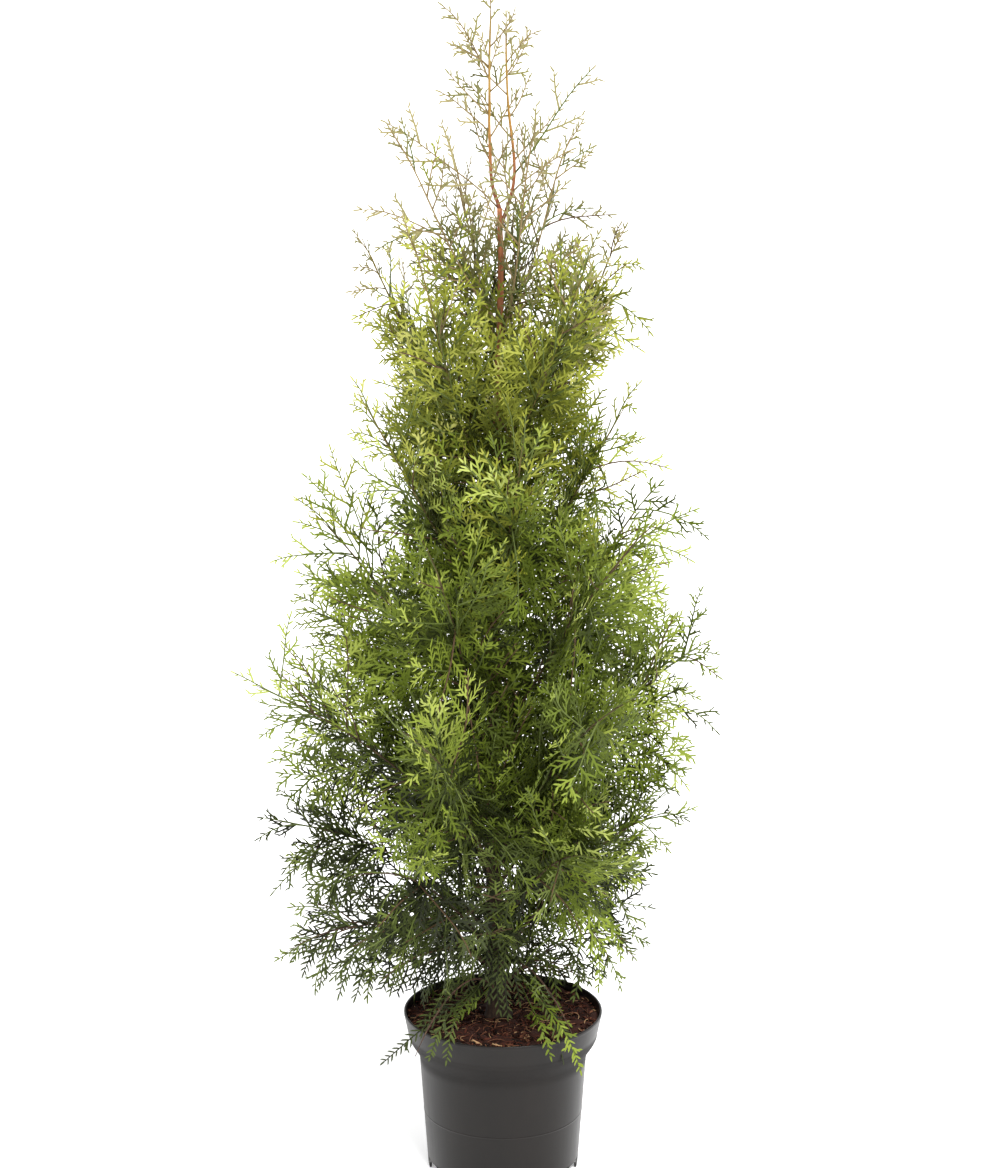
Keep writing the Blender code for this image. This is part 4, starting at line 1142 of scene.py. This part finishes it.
def deal_twig(spray):
    """Green twigs, brown in the shade near the trunk and tan towards the top."""
    rng = draws(spray.key, "twig")
    if spray.course.points[0][2] + rng.uniform(0.0, 0.25) > 1.20:
        return 2
    return 0 if rng.random() < (0.7 if spray.share < 0 else 0.15) else 1


# ---------------------------------------------------------------- bark relief
RIDGE_WAVES = 14
TRUNK_SIDES, TRUNK_RINGS = 40, 260
FOOT_RINGS, FOOT_LENGTH = 16, 0.03  # closer rings in the flare


def ridges(seed, depth, around, along):
    """A relief of long upright ridges for a limb's skin, as a function of place and angle."""
    rng = np.random.default_rng(seed)
    waves = []
    for _ in range(RIDGE_WAVES):
        turns = rng.integers(1, around + 1)
        pace = rng.uniform(0.3, 1.0) * along
        waves.append((turns, pace, rng.uniform(0, math.tau), rng.uniform(0.4, 1.0)))

    def relief(place, angle):
        total = 0
        for turns, pace, phase, size in waves:
            swerve = 1.3 * np.sin(0.37 * pace * place + phase)
            total = total + size * np.sin(turns * angle + pace * place + phase + swerve)
        rough = total / 3.2
        return depth * (np.abs(rough) ** 0.7 * np.sign(rough))

    return relief


def flared(place, angle):
    """The three low buttresses of the trunk's foot."""
    return 1 + 0.16 * np.cos(angle * 3 + 0.6) * np.exp(-place / 0.015)


def build_trunk(material):
    heap = Heap()
    course = spline(TRUNK_COURSE)
    foot = np.linspace(0.0, FOOT_LENGTH, FOOT_RINGS)[:-1]
    places = np.concatenate([foot, np.linspace(FOOT_LENGTH, course.length, TRUNK_RINGS)])
    centres, directions = course.along(places)
    directions[0] = (0.0, 0.0, 1.0)
    side = unit(np.array([1.0, 0, 0]) - directions * directions[:, :1])
    angles = np.arange(TRUNK_SIDES)[None] * math.tau / TRUNK_SIDES
    radii = np.array([trunk_radius(z) for z in centres[:, 2]])[:, None] * flared(places[:, None], angles)
    depth = 0.035 * radii + 0.00012
    radii = radii + depth * ridges(7, 1.0, 9, 60.0)(places[:, None], angles)
    points = ring_points(centres, side, np.cross(directions, side), radii)
    heap.add(points, rings_to_faces(len(places), TRUNK_SIDES), 0)
    return heap.made("trunk_bark", [material], smooth=True)


def stem_radius(bough, place):
    return bough.radius + (STEM_TIP_RADIUS - bough.radius) * place / bough.stem


BOUGH_SLIM, LEADER_SLIM = 0.42, 0.85  # the real limbs are slimmer than the solids, but for their foot
FOOT_THICKNESS_TO = 0.09
THINNEST = 0.0009
BOUGH_SIDES, BOUGH_RINGS = 8, 70
YOUNG_FROM = 1.15  # a bough whose tip is higher than this has young bark


def bough_radius(bough, place):
    """Tapers along the stem, and on along the spray at its end."""
    slim = LEADER_SLIM if "leader" in bough.name else BOUGH_SLIM
    thick = slim + (1 - slim) * max(0.0, 1 - place / FOOT_THICKNESS_TO)
    past = (place - bough.stem) / (bough.course.length - bough.stem)
    fade = 1.0 if place < bough.stem else max(0.35, 1 - past)
    return max(stem_radius(bough, min(place, bough.stem)) * thick, THINNEST) * fade


def build_boughs(name, boughs, materials):
    """Boughs from the trunk to the tip of the stem, the last of the materials on the young ones."""
    heap = Heap()
    for number, bough in enumerate(boughs):
        relief = ridges(100 + number, 0.00018, 5, 90.0)
        young = bough.course.points[-1][2] > YOUNG_FROM
        radius_at = partial(bough_radius, bough)
        end = bough.course.length * 0.97
        points, faces = tube(bough.course, 0.0, end, radius_at, BOUGH_SIDES, BOUGH_RINGS, relief)
        heap.add(points, faces, len(materials) - 1 if young else 0)
    return heap.made(name, materials, smooth=True)


# ---------------------------------------------------------------- pot
def lathe(heap, profile, segments, lift=None, closed=False):
    """A surface turned about +Z. lift moves a profile point up, as a function of its height and angle."""
    angles = np.arange(segments) * math.tau / segments
    radii, heights = (np.array(column, float)[:, None] * np.ones(segments) for column in zip(*profile))
    if lift is not None:
        heights = lift(heights, angles[None])
    points = np.stack([radii * np.cos(angles), radii * np.sin(angles), heights], -1)
    heap.add(points, rings_to_faces(len(profile), segments, capped=False, closed=closed), 0)


def rounded(points, radius, steps=4):
    """A profile with its corners rounded, from its first point to its last."""
    points = [np.array(point, float) for point in points]
    made = [points[0]]
    for before, at, after in zip(points, points[1:], points[2:]):
        room = min(radius, 0.45 * np.linalg.norm(before - at), 0.45 * np.linalg.norm(after - at))
        start = at + unit(before - at) * room
        end = at + unit(after - at) * room
        for step in range(steps + 1):
            t = step / steps
            made.append(start * (1 - t) ** 2 + at * 2 * t * (1 - t) + end * t**2)
    return [*made, points[-1]]


def arch(angle):
    """Height of the foot's lower edge round the pot: eight low arches between the feet."""
    turn = (angle / math.tau * NOTCHES) % 1.0 - 0.5
    across = np.abs(turn) * (math.tau / NOTCHES) / (NOTCH_ARC / 2)
    shape = np.clip(1 - across**3.2, 0.0, 1.0) ** 0.5
    return NOTCH_HEIGHT * shape


def wall(height):
    """The radius of the pot's wall under the collar."""
    return BODY_BASE_RADIUS + (BODY_TOP_RADIUS - BODY_BASE_RADIUS) / BODY_TOP_HEIGHT * height


SKIRT_TOP = 0.013
SKIRT_BEND = 0.0042
SKIRT_WALL = 0.0022
FLOOR_HEIGHT = 0.0145
FLOOR_UNDER = 0.0135
RIM_ROUND = 0.0012
SHOULDER_STEPS = 17
MOULDING_HALF, MOULDING_CREST, MOULDING_DEPTH = 0.0011, 0.0004, 0.0003
AXIS_HOLE = 0.0005  # where the flat faces begin, next to the axis


def wall_profile():
    """Up the inside of the wall, over the rim and down the outside, to the top of the skirt."""
    profile = [
        (wall(SKIRT_TOP) - WALL, SKIRT_TOP),
        (wall(0.06) - WALL, 0.060),
        (BODY_TOP_RADIUS - WALL, BODY_TOP_HEIGHT),
        (COLLAR_FOOT_RADIUS - WALL, COLLAR_FOOT_HEIGHT + 0.001),
        (RIM_RADIUS - LIP_THICKNESS, POT_HEIGHT - 0.003),
        (RIM_RADIUS - LIP_THICKNESS, POT_HEIGHT),
        (RIM_RADIUS, POT_HEIGHT),
        (RIM_RADIUS, POT_HEIGHT - 0.0030),
        (RIM_RADIUS - 0.0004, POT_HEIGHT - 0.0042),
    ]
    # Under the collar the wall draws in by one smooth shoulder
    top = COLLAR_FOOT_RADIUS + RIM_ROUND
    for t in np.linspace(0.0, 1.0, SHOULDER_STEPS):
        radius = top + (wall(SHOULDER_FOOT) - top) * t * t * (3 - 2 * t)
        profile.append((radius, SHOULDER_TOP + (SHOULDER_FOOT - SHOULDER_TOP) * t))
    for above, out in (
        (MOULDING_HALF, 0.0),
        (MOULDING_CREST, MOULDING_DEPTH),
        (-MOULDING_CREST, MOULDING_DEPTH),
        (-MOULDING_HALF, 0.0),
    ):
        profile.append((wall(MOULDING_HEIGHT + above) + out, MOULDING_HEIGHT + above))
    return [*profile, (wall(SKIRT_TOP), SKIRT_TOP)]


def skirt_profile():
    """Down the outside of the skirt under the wall, and up its inside."""
    outside = [(wall(SKIRT_TOP), SKIRT_TOP), (wall(0.004), SKIRT_BEND), (wall(0.0), 0.0)]
    return outside + [(radius - SKIRT_WALL, height) for radius, height in reversed(outside)]


def foot_profile():
    """The pad at the centre, the hollow, the foot ring, and the floor over them."""
    inner = wall(0.0) - NOTCH_DEPTH
    return [
        (AXIS_HOLE, 0.0),
        (PAD_RADIUS, 0.0),
        (PAD_RADIUS + 0.001, HOLLOW_HEIGHT),
        (FOOT_INNER_RADIUS - 0.001, HOLLOW_HEIGHT),
        (FOOT_INNER_RADIUS, 0.0),
        (inner - 0.0006, 0.0),
        (inner, 0.0006),
        (inner + 0.0006, 0.0125),
        (wall(FLOOR_UNDER) - 0.001, FLOOR_UNDER),
        (wall(FLOOR_UNDER) - 0.001, FLOOR_HEIGHT),
        (AXIS_HOLE, FLOOR_HEIGHT),
    ]


def lifted(heights, angles):
    """The skirt's lower edge, arched between the feet."""
    return heights + (SKIRT_TOP - heights) / SKIRT_TOP * arch(angles)


def build_pot(material):
    """The pot: wall and rim, the arched skirt of its foot, and the foot ring and floor within."""
    heap = Heap()
    lathe(heap, rounded(wall_profile(), RIM_ROUND), 192)
    lathe(heap, skirt_profile(), 768, lifted, closed=True)
    lathe(heap, foot_profile(), 192)
    return heap.made("pot_shell", [material], smooth=True)


# ---------------------------------------------------------------- potting mix
MIX_LOOKS = (
    ("mix_dark", (22, 13, 9), 0.95),
    ("mix_brown", (48, 26, 19), 0.95),
    ("mix_red", (78, 40, 28), 0.92),
    ("mix_tan", (112, 72, 52), 0.90),
    ("mix_straw", (166, 132, 96), 0.85),
)
MIX_EDGE = RIM_RADIUS - LIP_THICKNESS - 0.0006
BED_RINGS, BED_SEGMENTS = 56, 160
BED_WAVES = 26
CHIPS = 5200
CHIP_SHARES = (0.25, 0.36, 0.26, 0.10, 0.03)  # how often each look is dealt to a chip
CHIP_CORNERS = (
    (-1, -0.6, -1), (1, -0.9, -1), (1.1, 0.7, -1), (-0.8, 1, -1),
    (-0.9, -0.8, 1), (0.8, -0.7, 1), (0.9, 0.9, 1), (-1, 0.6, 1),
)
# The triangles of a chip, whose four lower corners come first
CHIP_ENDS = [(0, 2, 1), (0, 3, 2), (4, 5, 6), (4, 6, 7)]
CHIP_SIDES = [((k, n, n + 4), (k, n + 4, k + 4)) for k, n in ((0, 1), (1, 2), (2, 3), (3, 0))]
FIBRES = 420
FIBRE_POINTS = 7


def mix_height(radius):
    """The level of the mix: a little mound towards the trunk, lower at the wall."""
    share = np.clip(radius / (RIM_RADIUS - LIP_THICKNESS), 0, 1)
    return MIX_LEVEL - 0.0016 + (MIX_LEVEL_AT_WALL - MIX_LEVEL) * share**2


def add_bed(heap, rng):
    """The rough level of the mix, turned down at the wall."""
    radius = np.linspace(0.0, 1.0, BED_RINGS)[:, None] ** 0.8 * MIX_EDGE * np.ones(BED_SEGMENTS)
    angle = np.arange(BED_SEGMENTS)[None] * math.tau / BED_SEGMENTS + np.zeros((BED_RINGS, 1))
    x, y = radius * np.cos(angle), radius * np.sin(angle)
    z = mix_height(radius)
    for _ in range(BED_WAVES):
        f, turn, phase = rng.uniform(120, 900), rng.uniform(0, math.tau), rng.uniform(0, math.tau)
        z = z + 0.0016 / (1 + f / 200) * np.sin(f * (x * math.cos(turn) + y * math.sin(turn)) + phase)
    z = np.minimum(z, MIX_LEVEL + 0.001)
    x[-1], y[-1], z[-1] = x[-1] * 0.96, y[-1] * 0.96, mix_height(MIX_EDGE) - 0.012
    heap.add(np.stack([x, y, z], -1), rings_to_faces(BED_RINGS, BED_SEGMENTS, capped=False)[:, ::-1], 1)


def add_chips(heap, rng):
    """Bark chips: thin splinters, lying at all angles."""
    place = MIX_EDGE * np.sqrt(rng.uniform(0, 1, CHIPS)) * 0.985
    turn = rng.uniform(0, math.tau, CHIPS)
    length = rng.gamma(2.2, 0.0020, CHIPS).clip(0.002, 0.015)
    width = length * rng.uniform(0.16, 0.5, CHIPS)
    thick = length * rng.uniform(0.06, 0.16, CHIPS)
    level = mix_height(place) + rng.uniform(-0.0012, 0.0018, CHIPS)
    centre = np.stack([place * np.cos(turn), place * np.sin(turn), level], -1)
    lean = rng.normal(0, 0.32, CHIPS)
    yaw = rng.uniform(0, math.tau, CHIPS)
    ahead = np.stack([np.cos(yaw) * np.cos(lean), np.sin(yaw) * np.cos(lean), np.sin(lean)], -1)
    over = unit(np.stack([rng.normal(0, 0.35, CHIPS), rng.normal(0, 0.35, CHIPS), np.ones(CHIPS)], -1))
    flat = unit(np.cross(over, ahead))
    up = np.cross(ahead, flat)
    length = np.minimum(length, np.maximum((MIX_EDGE - place) * 2.0, 0.002))
    corners = []
    for corner in CHIP_CORNERS:
        wobble = rng.uniform(0.75, 1.2, (3, CHIPS))
        point = centre
        for axis, size, share, by in zip((ahead, flat, up), (length, width, thick), corner, wobble):
            point = point + axis * (size / 2 * share * by)[:, None]
        corners.append(point)
    box = np.concatenate([CHIP_ENDS, np.reshape(CHIP_SIDES, (-1, 3))])
    add_copies(heap, np.stack(corners, 1), box, rng.choice(len(MIX_LOOKS), CHIPS, p=CHIP_SHARES))


def add_fibre(heap, rng):
    """A thin curled thread of coir or straw."""
    away = MIX_EDGE * math.sqrt(rng.uniform(0, 0.95))
    turn, yaw = rng.uniform(0, math.tau, 2)
    size = rng.uniform(0.008, 0.030)
    curl = rng.normal(0, 0.9)
    t = np.linspace(0, 1, FIBRE_POINTS)
    heading = yaw + curl * t * 2
    steps = np.stack([np.cos(heading), np.sin(heading)], -1) * size / FIBRE_POINTS
    line = np.array([away * math.cos(turn), away * math.sin(turn)]) + np.cumsum(steps, 0)
    wide = np.hypot(line[:, 0], line[:, 1])
    line = line * np.minimum(1.0, (MIX_EDGE - 0.0015) / np.maximum(wide, 1e-6))[:, None]
    lift = 0.0018 + 0.0022 * np.sin(t * math.pi) * rng.uniform(0, 1)
    course = Course(np.column_stack([line, mix_height(np.hypot(line[:, 0], line[:, 1])) + lift]))
    thin = rng.uniform(0.00022, 0.00055)
    points, faces = tube(course, 0.0, course.length, lambda place: thin, 4, FIBRE_POINTS)
    heap.add(points, faces, int(rng.choice([1, 2, 3, 4], p=[0.2, 0.35, 0.25, 0.2])))


def build_mix(materials):
    """A rough bed with bark chips and fibres scattered over it."""
    heap = Heap()
    rng = np.random.default_rng(31)
    add_bed(heap, rng)
    add_chips(heap, rng)
    for _ in range(FIBRES):
        add_fibre(heap, rng)
    return heap.made("mix_surface", materials)


# ---------------------------------------------------------------- stage and light
FLOOR_HALF = 90  # metres, so that its far edge doesn't show
FLOOR_GLOW = 0.36
# Each light's azimuth and elevation in degrees, its strength, and its width in degrees
LIGHTS = {"key": (-64, 54, 3.7, 24), "fill": (-150, 30, 0.12, 60)}


def build_stage():
    mesh = bpy.data.meshes.new("floor")
    corners = [(x * FLOOR_HALF, y * FLOOR_HALF, 0) for x, y in ((-1, -1), (1, -1), (1, 1), (-1, 1))]
    mesh.from_pydata(corners, [], [(0, 1, 2, 3)])
    floor = bpy.data.objects.new("floor", mesh)
    bpy.context.scene.collection.objects.link(floor)
    table = surface("floor", (0.93, 0.93, 0.93), 0.9, 0.1)
    glow = table.node_tree.nodes["Principled BSDF"].inputs
    glow["Emission Color"].default_value = (1.0, 1.0, 1.0, 1.0)
    glow["Emission Strength"].default_value = FLOOR_GLOW
    mesh.materials.append(table)


def sun(name, azimuth, elevation, strength, spread):
    """A soft light from far away. azimuth is from the right, through the back."""
    data = bpy.data.lights.new(name, "SUN")
    data.energy = strength
    data.angle = math.radians(spread)
    light = bpy.data.objects.new(name, data)
    a, e = math.radians(azimuth), math.radians(elevation)
    from_there = Vector((math.cos(a) * math.cos(e), math.sin(a) * math.cos(e), math.sin(e)))
    light.rotation_euler = from_there.to_track_quat("Z", "Y").to_euler()
    bpy.context.scene.collection.objects.link(light)


def light_studio():
    """A bright room that is darker where the photographer stands, and two soft lights."""
    world = bpy.data.worlds.new("studio")
    world.use_nodes = True
    nodes = Shading(world)
    background = nodes.tree.nodes["Background"]
    back = nodes.axis("Y", "Generated")
    fade = nodes.mapped(back, -0.95, -0.45, 0.72, 1.0, interpolation_type="SMOOTHSTEP")
    nodes.link(fade, background.inputs["Strength"])
    background.inputs["Color"].default_value = (1.0, 1.0, 1.0, 1.0)
    bpy.context.scene.world = world
    for name, placing in LIGHTS.items():
        sun(name, *placing)
    scene = bpy.context.scene
    scene.view_settings.view_transform = "Standard"
    scene.view_settings.look = "None"
    scene.view_settings.exposure = 0.0


# ---------------------------------------------------------------- the whole plant
def main():
    add_camera()
    bark_material = strips_by_height("bark", BARK, 0.85, 160)
    young_bark = strips_by_height("young_bark", YOUNG_BARK, 0.6, 260)
    twig_materials = [surface(name, srgb(*colour), rough, 0.35) for name, colour, rough in TWIG_LOOKS]
    leaf_materials = [
        surface(f"leaf_{family}_{k}", srgb(*colour), LEAF_ROUGHNESS, 0.18)
        for family, _, colours in LEAF_LOOKS
        for k, colour in enumerate(colours)
    ]
    mix_materials = [surface(name, srgb(*colour), rough, 0.2) for name, colour, rough in MIX_LOOKS]

    pot = build_pot(pot_plastic())
    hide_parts("pot")
    mix = build_mix(mix_materials)
    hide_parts("potting_mix")
    trunk = build_trunk(bark_material)
    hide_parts("trunk")

    nodes = set(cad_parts)
    boughs = plan()
    stems = [bough for bough in boughs if "leader" not in bough.name]
    bough_bark = strips_by_height("bough_bark", BOUGH_BARK, 0.75, 220)
    limbs = build_boughs("boughs", stems, [bough_bark, twig_materials[2]])
    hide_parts(*sorted(n for n in nodes if n.startswith("bough_")))
    leaders = build_boughs("leaders", [bough for bough in boughs if bough not in stems], [young_bark])
    pieces = [pot, mix, trunk, limbs, leaders]

    slots = {"skirt": "leaf_low", "low": "leaf_low", "lower_middle": "leaf_middle", "middle": "leaf_middle"}
    twigs = Heap()
    groups = {}

    def group_of(bough):
        tier = tier_of(bough)
        if tier in SPLIT_TIERS:
            tier += "_left" if bough.course.points[-1][0] < 0 else "_right"
        return groups.setdefault(tier, (Heap(), []))

    for bough in boughs:
        heap, members = group_of(bough)
        members.append(f"foliage_{bough.name}")
        for spray in filter(growing, planned_sprays(bough)):
            leafy(spray, heap, twigs, deal_leaf(spray), deal_twig(spray))
    for bough, spray, paler in named_sprays(boughs):
        leafy(spray, group_of(bough)[0], twigs, deal_leaf(spray, paler), deal_twig(spray))
    for tier, (heap, members) in groups.items():
        base = tier.replace("_left", "").replace("_right", "")
        leaves = heap.made(f"leaves_{tier}", leaf_materials)
        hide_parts(*members)
        slots.get(base, "leaf_leader" if "leader" in base else "leaf_upper")
        pieces.append(leaves)
    twig_piece = twigs.made("twigs", twig_materials)
    pieces.append(twig_piece)
    for piece in pieces:
        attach(piece, "root")

    build_stage()
    light_studio()


main()
